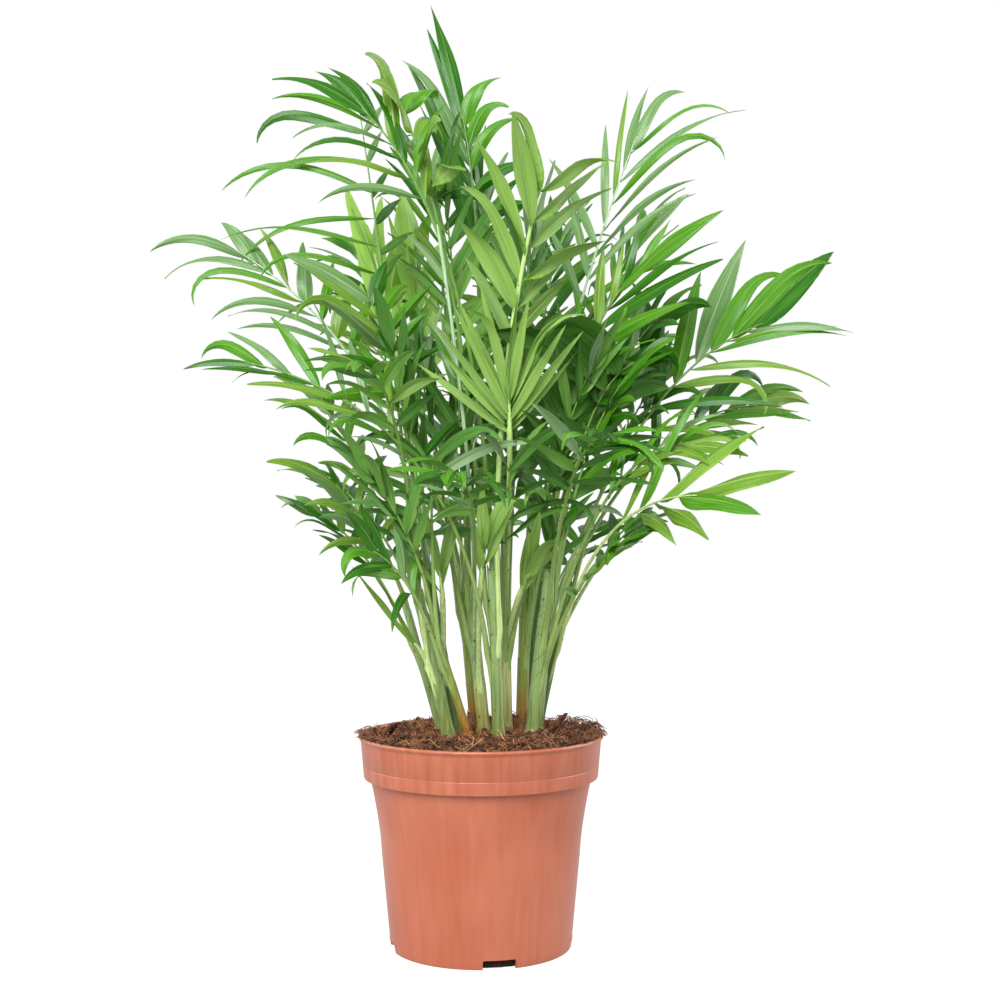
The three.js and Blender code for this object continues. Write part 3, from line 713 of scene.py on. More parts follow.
def cane_body(number):
    """The cane as rings of points, and which faces are brown scar."""
    foot, tip, _ = cane_shapes[number]
    tall = tip[2] - foot[2]
    nodes, level = [], cane_luck.uniform(*FIRST_NODE)
    while level < tall - 4:
        size = cane_luck.uniform(*SCAR_SIZE) * (cane_luck.random() < SCARRED_SHARE)
        nodes.append((level, cane_luck.uniform(0, 360), size))
        level += cane_luck.uniform(*NODE_SPACING)
    heights = np.arange(-CANE_SUNK, tall + 0.01, CANE_STEP)
    path = np.array([cane_point(number, h) for h in heights])
    sway = cane_luck.uniform(-CANE_SWAY, CANE_SWAY, 2)
    path[:, :2] += sway * np.sin(np.pi * np.clip(heights / tall, 0, 1))[:, None]
    radii = np.array([cane_radius(number, max(0, h)) for h in heights])
    for level, _, size in nodes:
        swell = NODE_SWELL * (0.4 + 0.6 * size)
        radii = radii + swell * np.exp(-((heights - level) / NODE_HALF_HEIGHT) ** 2)
        above = heights - level - PINCH_RISE
        radii = radii - NODE_PINCH * np.exp(-(above / PINCH_HALF_HEIGHT) ** 2)
    points, faces = sweep(path, (1, 0, 0), radii, radii, CANE_SIDES)
    slots = np.zeros(len(faces), int)
    for level, facing, size in nodes:
        from_node = np.abs(heights[:-1] + CANE_STEP / 2 - level)
        for row in np.flatnonzero(from_node < SCAR_HALF_HEIGHT):
            for side in range(CANE_SIDES):
                off = (side * 360 / CANE_SIDES - facing + 180) % 360 - 180
                if abs(off) < SCAR_HALF_TURN * size:
                    slots[row * CANE_SIDES + side] = 1
    return points, faces, slots


for number in range(1, CANE_COUNT + 1):
    points, faces, slots = cane_body(number)
    piece = make_piece(
        f"cane_{number}_stem", points, faces, [cane_skins[CANE_LOOKS[number]], scar_skin], slots,
        CANE_CREASE,
    )
    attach(piece, "root")
    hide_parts(f"cane_{number}")

# Husks: what is left of the first leaf sheaths, dry brown cuffs with torn tops round the feet of
# some canes. Each row is its cane, its height and its bulge.
HUSKS = [
    (3, 6, 0.5), (4, 10, 0.8), (7, 7, 0.5), (8, 10, 0.8), (10, 6, 0.5), (12, 6, 0.5), (14, 12, 0.7),
]
HUSK_SIDES = 44
HUSK_WALL = 0.3
HUSK_GAP = 0.15
HUSK_SUNK = 2
HUSK_FLARE = 0.35
HUSK_TEAR = 0.4
HUSK_FRAY = 0.18
HUSK_CREASE = 60


def husk(number, height, bulge):
    """A cuff that bulges round a cane's foot, split and torn along its upper edge."""
    points = []
    turns = 2 * np.pi * np.arange(HUSK_SIDES) / HUSK_SIDES
    torn = [1 + HUSK_TEAR * noise.noise((3 * math.cos(t), 3 * math.sin(t), number)) for t in turns]
    torn = [
        edge + HUSK_FRAY * noise.noise((11 * math.cos(t), 11 * math.sin(t), number))
        for edge, t in zip(torn, turns)
    ]
    shares = np.linspace(0, 1, 9)
    for wall in (HUSK_WALL, 0):
        for share in shares if wall else shares[::-1]:
            for turn, edge in zip(turns, torn):
                level = -HUSK_SUNK + (height * edge + HUSK_SUNK) * share
                size = cane_radius(number, max(0, level)) + HUSK_GAP + wall
                size += bulge * math.sin(math.pi * share ** 0.7) + HUSK_FLARE * share ** 4
                points.append(cane_point(number, level) + on_circle(size, turn, 0))
    return np.array(points), ring_faces(2 * len(shares), HUSK_SIDES, closed=True)


husks = make_piece(
    "foot_husks", *joined([husk(*row) for row in HUSKS]),
    [dry_matter("dry_husk", "#4a2c16", "#9a6630", 1.6, 0.5)], crease=HUSK_CREASE,
)
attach(husks, "root")

# ---------------------------------------------------------------- fronds
# The palm's leaves: each has a petiole that leaves its cane from a sheath, runs on as the rachis
# and thins out to the tip, and carries narrow leaflets on both sides that hook towards the tip.

TOP = None
# Each frond: its name, its cane, the height where it leaves it (TOP is the cane's end), the point
# its rachis bends towards, the point it ends at, the bare share of it, its pairs of leaflets, the
# longest leaflet, the splay at the foot and at the tip, the droop, the lift, the roll, the
# leaflets' width, and its tone, from 0, the deepest green, to 4, the palest, partly painted glow
# of back light, or 5, a waxy green whose bluish grey is painted sheen. Splay, lift and roll are in
# degrees, droop in radians, and a list has the values of the frond's two sides.
FRONDS = [
    ("top_1", 4, TOP, (10, 5, 462), (-14, 15, 584), 0.62, 6, [56, 98], [[50, 14], [28, 4]],
     [1.2, 0.12], 10, 0, 13, 0),
    ("top_2", 12, TOP, (-20, 80, 470), (-40, 110, 560), 0.5, 8, 75, (55, 15), 0.4, 10, 0, 10, 1),
    ("top_3", 13, 246, (4, 64, 433), (0, 66, 545), 0.6, 6, 65, (50, 12), 0.4, 10, 0, 12, 0),
    ("top_4", 5, TOP, (-10, -20, 400), (-25, -35, 520), 0.5, 7, 75, (50, 15), 0.4, 10, 0, 11, 0),
    ("top_5", 7, TOP, (25, -10, 400), (35, -15, 495), 0.5, 7, 75, (50, 15), 0.4, 10, 0, 11, 0),
    ("left_1", 1, 240, (-58, 10, 400), (-88, 45, 588), 0.58, 7, [54, 114], [[58, 35], [64, 66]],
     [0.3, 0.95], -25, 0, 8, 1),
    ("left_2", 6, TOP, (-1, -55, 494), (-78, -60, 567), 0.66, 6, [68, 84], [[38, 6], [50, 14]],
     [0.6, 1.25], 5, -74, [13, 9], 1),
    ("left_3", 2, TOP, (-61, 20, 415), (-173, 30, 486), 0.55, 7, [58, 90], [[55, 10], [38, 12]],
     [0.3, 0.95], 10, -50, [15, 8], 5),
    ("left_4", 1, TOP, (-42, -30, 377), (-76, -40, 448), 0.55, 6, [46, 84],
     [[66, 40], [82, 28]], [0.5, 0.4], 10, -72, 11, 1),
    ("left_5", 6, 205, (-14, -84, 372), (-160, -60, 401), 0.45, 7, [76, 62],
     [[62, 12], [42, 14]], [0.4, 0.5], 12, -48, [11, 8], 1),
    ("left_6", 3, TOP, (-36, -62, 275), (-72, -80, 330), 0.4, 5, 60, (50, 15), 0.5, 10, 0, 13, 0),
    ("left_7", 15, TOP, (-66, -10, 278), (-100, -10, 320), 0.45, 6, [40, 66],
     [[55, 20], [60, 20]], [0.9, 0.9], 10, -45, 11, 1),
    ("left_8", 3, 198, (-42, -62, 260), (-68, -85, 276), 0.4, 4, [48, 62], [[50, 15], [62, 20]],
     [0.6, 0.9], 10, -60, 12, 0),
    ("left_9", 15, 208, (-80, 25, 280), (-120, 50, 300), 0.4, 6, 50, (55, 15), 0.5, 10, 0, 11, 0),
    ("left_10", 11, 218, (-90, 60, 350), (-125, 100, 385), 0.45, 6, 60, (55, 15), 0.6, 10, 0,
     10, 1),
    ("right_1", 8, TOP, (56, 25, 430), (112, 45, 572), 0.55, 7, [106, 88], [[42, 24], [38, 2]],
     [0.8, 0.25], 5, 40, [8, 9], 5),
    ("right_2", 9, TOP, (51, -20, 411), (109, -30, 468), 0.5, 6, [98, 56], [[50, 20], [42, 12]],
     [0.4, 0.2], 5, 60, [12, 10], 1),
    ("right_3", 9, 236, (108, 0, 400), (198, 10, 433), 0.42, 7, [96, 106], [[48, 12], [44, 20]],
     [0.7, 0.12], 10, 60, [9, 21], 1),
    ("right_4", 10, TOP, (118, 50, 374), (206, 85, 380), 0.45, 6, [64, 84], [[34, 8], [40, 12]],
     [0.6, 0.8], 10, 50, [12, 14], 1),
    ("right_5", 9, 208, (80, -45, 350), (140, -75, 345), 0.45, 8, [54, 60],
     [[50, 15], [50, 18]], [0.5, 0.7], 10, 50, 8, 1),
    ("right_6", 10, 205, (74, -60, 312), (138, -100, 312), 0.5, 4, [76, 86],
     [[62, 14], [66, 14]], [0.45, 0.3], 8, 55, [17, 18], 2),
    ("right_7", 9, 194, (62, -70, 265), (95, -95, 285), 0.4, 5, 42, (60, 15), 0.5, 10, 30, 10, 1),
    ("right_8", 10, 222, (90, 30, 280), (115, 45, 292), 0.4, 6, 42, (55, 15), 0.5, 10, 0, 11, 0),
    ("front_1", 6, 222, (4, -62, 378), (41, -78, 519), 0.6, 6, [84, 88], [[42, 24], [44, 42]],
     [0.4, 0.4], 10, 0, [16, 18], 3),
    ("front_2", 5, 232, (4, -110, 335), (-20, -185, 325), 0.45, 7, 54, (60, 15), 1.0, 10, 0, 9, 0),
    ("front_3", 9, 222, (55, -110, 360), (80, -185, 345), 0.45, 7, 60, (60, 15), 0.7, 10, 0, 13, 0),
    ("front_4", 1, 226, (-50, -85, 405), (-75, -155, 390), 0.45, 6, 50, (60, 15), 0.8, 10, 0,
     10, 1),
    ("front_5", 5, 212, (-30, -30, 320), (-60, -45, 415), 0.45, 6, 60, (50, 15), 0.4, 10, 0, 13, 0),
    ("front_6", 7, 205, (40, -32, 320), (75, -55, 400), 0.45, 6, 60, (50, 15), 0.4, 10, 0, 13, 0),
    ("front_7", 7, 226, (21, -60, 325), (19, -73, 376), 0.78, 7, 88, (47, 5), 0.08, 4, 0, 8, 3),
    ("back_1", 11, TOP, (-50, 70, 440), (-95, 130, 500), 0.5, 8, 70, (60, 15), 0.6, 10, 0, 11, 1),
    ("back_2", 11, 240, (-49, 60, 368), (-80, 72, 492), 0.6, 4, 80, (40, 8), 0.1, 10, 0, 20, 4),
    ("back_3", 12, 224, (-42, 74, 361), (-50, 84, 490), 0.6, 4, 80, (40, 8), 0.1, 10, 0, 20, 4),
    ("back_4", 12, 243, (-50, 100, 410), (-100, 170, 440), 0.45, 7, 68, (60, 15), 0.6, 10, 0,
     11, 1),
    ("back_5", 13, TOP, (20, 110, 460), (30, 185, 490), 0.45, 8, 75, (60, 15), 0.6, 10, 0, 11, 1),
    ("back_6", 13, 228, (15, 120, 400), (10, 210, 400), 0.45, 8, 75, (60, 15), 0.6, 10, 0, 11, 1),
    ("back_7", 14, 236, (70, 90, 390), (115, 150, 425), 0.45, 8, 75, (60, 15), 0.6, 10, 0, 11, 1),
    ("back_8", 14, TOP, (75, 50, 440), (120, 95, 515), 0.5, 8, 70, (55, 15), 0.5, 10, 0, 10, 1),
    ("back_9", 8, 236, (36, 80, 421), (58, 105, 505), 0.6, 6, 70, (50, 12), 0.4, 10, 0, 12, 0),
    ("back_10", 14, 208, (65, 90, 280), (95, 140, 290), 0.4, 6, 50, (55, 15), 0.6, 10, 0, 12, 0),
    ("back_11", 13, 212, (5, 100, 300), (-15, 160, 305), 0.4, 6, 55, (55, 15), 0.6, 10, 0, 12, 0),
    ("back_12", 11, 206, (-70, 75, 290), (-105, 115, 315), 0.4, 6, 50, (55, 15), 0.6, 10, 0, 12, 0),
]
# Fronds that have no solid of their own: young ones of one to three pairs, low down, ones that
# fill the middle of the crown and its top left, and a bare stalk whose leaf hasn't opened.
YOUNG_FRONDS = [
    ("young_1", 1, 196, (-36, -36, 204), (-44, -42, 213), 0.5, 1, 74, (1, 1), 0.05, 0, -55, 8, 3),
    ("young_2", 1, 200, (-38, -40, 226), (-41, -44, 244), 0.6, 1, 72, (3, 3), 0.05, 0, 0, 12, 3),
    ("young_3", 2, 200, (-24, -40, 240), (-27, -44, 262), 0.6, 2, 60, (18, 8), 0.1, 5, 0, 9, 3),
    ("young_4", 7, 214, (24, -30, 245), (34, -40, 262), 0.5, 2, 58, (26, 10), 0.3, 5, 0, 10, 3),
    ("young_5", 5, 190, (-2, -44, 250), (4, -52, 282), 0.6, 2, 56, (20, 10), 0.15, 5, 0, 10, 3),
    ("young_6", 8, 206, (38, -20, 262), (52, -30, 290), 0.5, 3, 50, (40, 15), 0.4, 5, 0, 10, 0),
    ("inner_1", 5, 238, (-12, -25, 330), (-16, -32, 400), 0.3, 9, 66, (50, 18), 0.35, 8, 0, 10, 0),
    ("inner_2", 4, 230, (-28, -2, 330), (-42, -10, 415), 0.4, 6, 72, (46, 18), 0.6, 8, 0, 10, 0),
    ("inner_3", 7, 225, (22, -14, 330), (28, -22, 405), 0.3, 9, 66, (50, 18), 0.35, 8, 0, 10, 1),
    ("inner_4", 8, 240, (44, -4, 330), (62, -12, 412), 0.3, 9, 66, (50, 18), 0.4, 8, 0, 11, 0),
    ("inner_5", 13, 240, (14, 44, 340), (12, 38, 435), 0.3, 9, 70, (45, 15), 0.2, 8, 0, 10, 1),
    ("inner_6", 2, 240, (-42, -30, 320), (-56, -42, 378), 0.4, 5, 74, (58, 24), 0.9, 8, 0, 10, 1),
    ("inner_7", 12, 235, (-18, 48, 350), (-24, 40, 445), 0.3, 9, 70, (45, 15), 0.2, 8, 0, 10, 1),
    ("inner_8", 9, 240, (52, -30, 320), (58, -40, 376), 0.3, 8, 62, (55, 22), 0.7, 8, 0, 11, 0),
    ("inner_9", 3, 215, (-34, -60, 290), (-30, -74, 340), 0.45, 5, 74, (66, 30), 0.9, 8, 0, 8, 0),
    ("inner_10", 7, 210, (16, -40, 290), (20, -68, 334), 0.45, 5, 74, (66, 30), 1.0, 8, 0, 8, 0),
    ("inner_11", 9, 244, (66, -30, 350), (98, -44, 392), 0.3, 8, 66, (58, 24), 0.8, 8, 40, 12, 0),
    ("inner_12", 10, 236, (88, 14, 350), (128, 20, 398), 0.35, 8, 66, (52, 20), 0.6, 8, 40, 11, 0),
    ("inner_13", 9, 240, (62, -36, 372), (98, -40, 398), 0.4, 5, [112, 60],
     [[88, 74], [50, 30]], [2.4, 0.9], [55, 10], 0, 22, 0),
    ("inner_14", 8, 244, (82, 4, 400), (124, 0, 436), 0.4, 6, [58, 62], [[62, 24], [54, 18]],
     [1.2, 0.7], 10, 40, 15, 1),
    ("inner_15", 6, 238, (-10, -40, 480), (-56, -46, 580), 0.66, 4, [56, 60],
     [[70, 20], [60, 14]], [1.9, 1.5], 30, -30, 19, 1),
    ("spear_1", 5, 200, (2, -66, 300), (-28, -62, 490), 0.98, 0, 0, (0, 0), 0, 0, 0, 0, 5),
]
PETIOLE_RADIUS = 1.8
RIB_RADIUS = 1.6
RACHIS_RADIUS = 1.1
TIP_RADIUS = 0.45
FRESH_GIRTH = 1.8
YELLOW_GREEN = 3
WAXY_SHEEN = 5
SEAT_GAP = 1.3
SEAT_OFF = 0.3
TIP_SHARE = 0.97
SHORTEST_LEAFLET = 0.72
FIRST_LEAFLET = 0.1
LAST_LEAFLET = 0.9
RIB_STEPS = 40
RIB_SIDES = 8
CLASP_FALLS = (-24, -15, -7)
CLASP_SHARES = (1, 1, 0.9)
CLASP_DEPTH = 1.2
FOOT_WIDENING = 0.45
FOOT_DEEPENING = 0.2
SHEATH_SIDES = 20
SHEATH_LENGTH = (38, 52)
SHEATH_LOWEST = 14  # a sheath that would start lower than this goes down into the soil
SHEATH_SUNK = 2
SHEATH_DROP = 4  # how far under a side frond's petiole its sheath ends
SHEATH_GAP = 0.12
SHEATH_LAYER = 0.16
SHEATH_FLARE = 0.2
SHEATH_WALL = 0.25
SHEATH_CUT = (5, 15)
SHEATH_CREASE = 50
PAIR_STAGGER = 0.12
PAIR_SCATTER = 0.1
LENGTH_SCATTER = (0.86, 1.06)
WIDTH_SCATTER = (0.62, 0.95)
DROOP_SCATTER = (0.6, 1.5)
SPLAY_SCATTER = 6.5
LIFT_SCATTER = 11
TWIST_SCATTER = 0.6
RESTING_TWIST = 0.3
END_WIDENING = 1.25
UP = np.array([0.0, 0.0, 1.0])
frond_luck = np.random.default_rng(29)


def unit(vector):
    """The vector, or each vector of a list, at a length of one."""
    return vector / np.linalg.norm(vector, axis=-1, keepdims=True)


def turn_about(vector, axis, angle):
    """vector turned about an axis that it is square to."""
    return vector * np.cos(angle) + np.cross(axis, vector) * np.sin(angle)


class Frond:
    """A frond's rachis, as one smooth bend from its cane to its tip."""

    def __init__(self, row):
        (self.name, self.cane, height, bend, end, self.bare, self.pairs, self.reach, self.splay,
         self.droop, self.lift, self.roll, self.width, self.tone) = row
        foot, cane_tip, radius = cane_shapes[self.cane]
        self.on_top = height is TOP
        self.split = isinstance(self.splay, list)
        self.level = (cane_tip[2] if self.on_top else height) - foot[2]
        start = cane_point(self.cane, self.level)
        end = np.array(end, float)
        self.outward = unit((end - start) * (1, 1, 0))
        if self.on_top:
            start = start + UP * SEAT_GAP
        else:
            off_axis = cane_radius(self.cane, self.level) + PETIOLE_RADIUS + SEAT_OFF
            start = start + self.outward * off_axis
        self.bends = (start, np.array(bend, float), end)
        self.across = np.array([-self.outward[1], self.outward[0], 0])

    def point(self, share):
        """A point of the rachis, from 0 at its foot to 1 at its tip."""
        start, bend, end = self.bends
        return start * (1 - share) ** 2 + bend * 2 * share * (1 - share) + end * share ** 2

    def station(self, share):
        """The direction of the rachis, the way across it and the way up off the blade."""
        start, bend, end = self.bends
        along = unit((bend - start) * (1 - share) + (end - bend) * share)
        flat = unit(self.across - along * (self.across @ along))
        raised = np.cross(along, flat)
        roll = math.radians(self.roll)
        return along, turn_about(flat, along, roll), turn_about(raised, along, roll)

    def radius(self, share):
        """The rachis's radius. New, yellow-green fronds have a thicker one."""
        girth = FRESH_GIRTH if self.tone >= YELLOW_GREEN and self.tone != WAXY_SHEEN else 1
        sizes = [RIB_RADIUS, RACHIS_RADIUS * girth, TIP_RADIUS * girth]
        return np.interp(share, [0, self.bare, 1], sizes)


def rib(frond):
    """The petiole and rachis, with the flattened foot that clasps the cane inside the sheath."""
    cane_size = cane_radius(frond.cane, frond.level)
    leads = [0, 0, 0] if frond.on_top else [cane_size - 1, cane_size, cane_size + 1]
    lead = [
        cane_point(frond.cane, frond.level + fall) + frond.outward * out
        for fall, out in zip(CLASP_FALLS, leads)
    ]
    shares = np.linspace(0, 1, RIB_STEPS)
    path = np.array(lead + [frond.point(share) for share in shares])
    crossings = [frond.station(share)[1] for share in shares]
    across = np.array([crossings[0]] * len(lead) + crossings)
    radii = np.array([frond.radius(share) for share in shares])
    clasp = cane_size * (0.9 if frond.on_top else 0.75)
    clasp_depth = clasp if frond.on_top else CLASP_DEPTH
    swell = np.exp(-shares * 14)
    wide = np.concatenate([clasp * np.array(CLASP_SHARES), radii * (1 + FOOT_WIDENING * swell)])
    deep = np.concatenate([[clasp_depth] * len(lead), radii * (1 + FOOT_DEEPENING * swell)])
    return sweep(path, across, wide, deep, RIB_SIDES)


def sheath(frond, order):
    """The thin tube that the petiole's foot wraps round the cane, cut off slantwise at the top."""
    facing = math.atan2(frond.outward[1], frond.outward[0])
    low = frond.level - frond_luck.uniform(*SHEATH_LENGTH)
    low = low if low > SHEATH_LOWEST else -SHEATH_SUNK
    base = frond.level - (0 if frond.on_top else SHEATH_DROP)
    levels = np.append(np.linspace(0, 0.985, 25), 1)
    cut = frond_luck.uniform(*SHEATH_CUT)
    points = []
    for wall in (0, 1):
        for share in levels if wall == 0 else levels[::-1]:
            for i in range(SHEATH_SIDES):
                turn = 2 * math.pi * i / SHEATH_SIDES
                slant = ((1 + math.cos(turn - facing)) / 2) ** 2
                level = low + (base + cut * (slant - 0.7) - low) * share
                size = cane_radius(frond.cane, level) + SHEATH_GAP + SHEATH_LAYER * order
                size += SHEATH_FLARE * share
                size += 0.3 * slant * share - SHEATH_WALL * wall - 0.1 * (share < 0.02)
                points.append(cane_point(frond.cane, level) + on_circle(size, turn, 0))
    faces = ring_faces(2 * len(levels), SHEATH_SIDES, closed=True)
    edge = {len(levels) - 2, len(levels) - 1, len(levels)}
    skin = list(CANE_SKINS).index(CANE_LOOKS[frond.cane])
    slots = [len(CANE_SKINS) if face // SHEATH_SIDES in edge else skin for face in range(len(faces))]
    return np.array(points), faces, slots


# A leaflet's mesh: its rows along the blade, from the neck to the tip, and its columns across it,
# from margin to margin, closer together at the midrib.
LEAF_ROWS = np.array([0, 0.04, 0.1, 0.18, 0.27, 0.37, 0.47, 0.57, 0.66, 0.75, 0.83, 0.9, 0.95, 0.985])
LEAF_SPREAD = np.array([-1, -0.78, -0.56, -0.34, -0.16, -0.05, 0.05, 0.16, 0.34, 0.56, 0.78, 1])
LEAF_COLUMNS = len(LEAF_SPREAD)
MIDRIB_COLUMN = LEAF_COLUMNS // 2 - 1
LEAF_THICKNESS = 0.4
LEAF_SHAPE = (0.5, 0.85)
NECK_HALF_WIDTH = 0.7
LEAF_FOLD = [62, 34, 14, 26]
FOLD_PLACES = [0, 0.12, 0.5, 1]
PLEAT_DEPTH = 0.02
PLEATS = 5
RIPPLE_DEPTH = 0.06
RIPPLES = 1.4
LEAF_CREASE = 75
MAP_STEP = 5
CURLED_SHARE = 0.2
CURL_OVER = (1.5, 4)
# how far leaflets' tones are from their frond's, each as often as it stands here
TONE_SHIFTS = [-1, -1, 0, 0, 0, 1, 1, 2]
CROWDED_TANGLE = 1.9
HOOK = 0.05


def leaf_faces():
    """The faces of one leaflet: an upper and a lower layer that meet at the margin and the tip."""
    rows, columns = len(LEAF_ROWS), LEAF_COLUMNS
    inner = columns - 2
    tip = rows * columns + rows * inner

    def upper(row, column):
        """The point of the upper layer at a row and a column."""
        return row * columns + column

    def lower(row, column):
        """The point of the lower layer, which is the upper one's at the margins."""
        if column in (0, columns - 1):
            return upper(row, column)
        return rows * columns + row * inner + column - 1

    faces, slots = [], []
    for layer, corner in enumerate((upper, lower)):
        for column in range(columns - 1):
            after = column + 1
            quads = [
                [corner(r, column), corner(r, after), corner(r + 1, after), corner(r + 1, column)]
                for r in range(rows - 1)
            ]
            quads.append([corner(rows - 1, column), corner(rows - 1, after), tip])
            faces += [quad[::-1] for quad in quads] if layer else quads
            slots += [2 if column == MIDRIB_COLUMN else layer] * len(quads)
    foot = [upper(0, column) for column in range(columns)]
    foot += [lower(0, column) for column in range(columns - 2, 0, -1)]
    faces.append(foot[::-1])
    slots.append(1)
    return faces, slots


def lay_blade_map(mesh, count):
    """Gives each leaflet's faces their place on the blade: across it, and along it from its neck."""
    across = (LEAF_SPREAD + 1) / 2
    upper = np.stack(np.broadcast_arrays(across, LEAF_ROWS[:, None]), axis=-1)
    blade = np.concatenate([upper.reshape(-1, 2), upper[:, 1:-1].reshape(-1, 2), [[0.5, 1]]])
    # each leaflet's map starts five blades further on, so that no two are veined alike
    places = np.concatenate([blade + (MAP_STEP * number, 0) for number in range(count)])
    corners = np.zeros(len(mesh.loops), int)
    mesh.loops.foreach_get("vertex_index", corners)
    mesh.uv_layers.new(name="leaflet").data.foreach_set("uv", places[corners].ravel())


LEAF_FACES, LEAF_SLOTS = leaf_faces()
LEAF_POINT_COUNT = len(LEAF_ROWS) * (2 * LEAF_COLUMNS - 2) + 1


def leaflet(base, heading, upward, forward, length, width, droop, twist, curl_over, wave, close):
    """A leaflet's points: a pleated strip, folded along its midrib, that arches over and twists."""
    rise, fall = LEAF_SHAPE
    far = np.append(LEAF_ROWS, 1)
    downward = -UP + heading * heading[2]
    bend = (droop * far ** 1.8 + curl_over * np.clip(far - 0.55, 0, 1) ** 1.2)[:, None]
    direction = heading * np.cos(bend) + unit(downward) * np.sin(bend)
    direction = unit(direction + forward * (HOOK * far)[:, None])
    gaps = np.diff(far)[:, None] * length
    steps = np.cumsum(gaps * (direction[1:] + direction[:-1]) / 2, axis=0)
    middle = base + np.concatenate([[[0, 0, 0]], steps])
    tip, middle, direction = middle[-1], middle[:-1], direction[:-1]
    side = unit(np.cross(direction, upward))
    side = turn_about(side, direction, (twist * LEAF_ROWS ** 1.3)[:, None])
    normal = np.cross(side, direction)
    outline = LEAF_ROWS ** rise * (1 - LEAF_ROWS) ** fall
    outline = outline / (rise / (rise + fall)) ** rise / (fall / (rise + fall)) ** fall
    half = np.maximum(width / 2 * outline, NECK_HALF_WIDTH * (1 - LEAF_ROWS) ** 0.5)
    fold = close * np.radians(np.interp(LEAF_ROWS, FOLD_PLACES, LEAF_FOLD))
    spread, off_midrib = LEAF_SPREAD, np.abs(LEAF_SPREAD)
    x = half[:, None] * spread * np.cos(fold)[:, None]
    pleat = PLEAT_DEPTH * width * np.sin(np.pi * LEAF_ROWS)[:, None]
    pleat = pleat * np.cos(PLEATS * np.pi * off_midrib)
    along_edge = np.sin(2 * np.pi * RIPPLES * LEAF_ROWS + wave)[:, None]
    ripple = RIPPLE_DEPTH * width * along_edge * spread * off_midrib
    z = -half[:, None] * off_midrib * np.sin(fold)[:, None] + pleat + ripple
    upper = middle[:, None] + side[:, None] * x[..., None] + normal[:, None] * z[..., None]
    thick = LEAF_THICKNESS * (1 - spread[1:-1] ** 2) ** 0.5 * (1 - LEAF_ROWS[:, None]) ** 0.3
    lower = upper[:, 1:-1] - normal[:, None] * thick[..., None]
    return np.concatenate([upper.reshape(-1, 3), lower.reshape(-1, 3), [tip]])


def leaflet_tone(tone, shift):
    """A leaflet's tone, near its frond's. A waxy frond, its grey painted sheen, has some green ones, a
    green one a few waxy.
    """
    if tone == WAXY_SHEEN:
        return WAXY_SHEEN if shift <= 0 else int(shift)
    if tone < 2 and shift == 2:
        return WAXY_SHEEN
    return int(min(max(tone, YELLOW_GREEN), max(0, tone + shift)))


def both(value):
    """A frond's value for its two sides: one number holds for both."""
    return value if isinstance(value, list) else [value, value]


def leaflets_of(frond, tangle):
    """Every leaflet of a frond, as (tone, points). A tangle over 1 puts them out of line."""
    found = []
    for pair in range(frond.pairs):
        for number, side in enumerate((-1, 1)):
            place = pair + 0.5 + PAIR_STAGGER * side + frond_luck.uniform(-PAIR_SCATTER, PAIR_SCATTER)
            middle = place / frond.pairs
            middle = min(0.985, max(0.02, middle))
            share = frond.bare + (1 - frond.bare) * TIP_SHARE * middle
            along, across, upward = frond.station(share)
            foot_splay, tip_splay = frond.splay[number] if frond.split else frond.splay
            splay = foot_splay + (tip_splay - foot_splay) * middle
            splay = math.radians(splay + frond_luck.normal() * SPLAY_SCATTER * tangle)
            lift = math.radians(both(frond.lift)[number] + frond_luck.normal() * LIFT_SCATTER * tangle)
            sideways = across * side * math.cos(lift) + upward * math.sin(lift)
            heading = along * math.cos(splay) + sideways * math.sin(splay)
            swell = math.sin(math.pi * (FIRST_LEAFLET + (LAST_LEAFLET - FIRST_LEAFLET) * middle))
            length = both(frond.reach)[number] * (SHORTEST_LEAFLET + (1 - SHORTEST_LEAFLET) * swell)
            length *= frond_luck.uniform(*LENGTH_SCATTER)
            width = both(frond.width)[number] * frond_luck.uniform(*WIDTH_SCATTER)
            if pair == frond.pairs - 1:
                width *= END_WIDENING
            droop = both(frond.droop)[number] * frond_luck.uniform(*DROOP_SCATTER)
            twist = side * RESTING_TWIST + frond_luck.normal() * TWIST_SCATTER * tangle
            curled = frond_luck.random() < CURLED_SHARE * tangle
            curl_over = frond_luck.uniform(*CURL_OVER) if curled else 0
            points = leaflet(
                frond.point(share), heading, upward, along, length, width, droop, twist, curl_over,
                frond_luck.uniform(0, 6), frond_luck.uniform(0.7, 2) ** 1.5 / 1.3,
            )
            shift = frond_luck.choice(TONE_SHIFTS)
            found.append((leaflet_tone(frond.tone, shift), points))
    return found


# The leaflets' greens: the upper side's two, the paler under side's, the midrib's, the glow of
# light through the blade, and the share of the light that goes through. Old fronds are deep green,
# new ones yellow-green, a few are pale and thin, with their pale greens partly painted glow of the
# light behind them, and some leaflets are waxy, with a bluish grey that is painted sheen.
LEAF_TONES = [
    ("deep", "#225d0c", "#3e7e1a", "#608c44", "#7c9c54", "#64902a", 0.34),
    ("mature", "#3f8412", "#629b2a", "#7aa65a", "#9ab870", "#88b43a", 0.36),
    ("green", "#628a28", "#80a842", "#92b670", "#aac480", "#a0c050", 0.36),
    ("fresh", "#68932a", "#86ac4a", "#94bc64", "#b6ce8c", "#a6c858", 0.36),
    # pale: the young leaves' own pale green, made lighter still as painted glow of the light behind
    # them
    ("pale", "#9cc460", "#b8d884", "#b0d488", "#cce0a8", "#d4ee9c", 0.6),
    # waxy: a bluish grey-green that is painted sheen, the grey of a reflection put into the leaflets'
    # colour
    ("waxy", "#5e8a4c", "#82a56c", "#8eac82", "#a8c29a", "#90b262", 0.36),
]


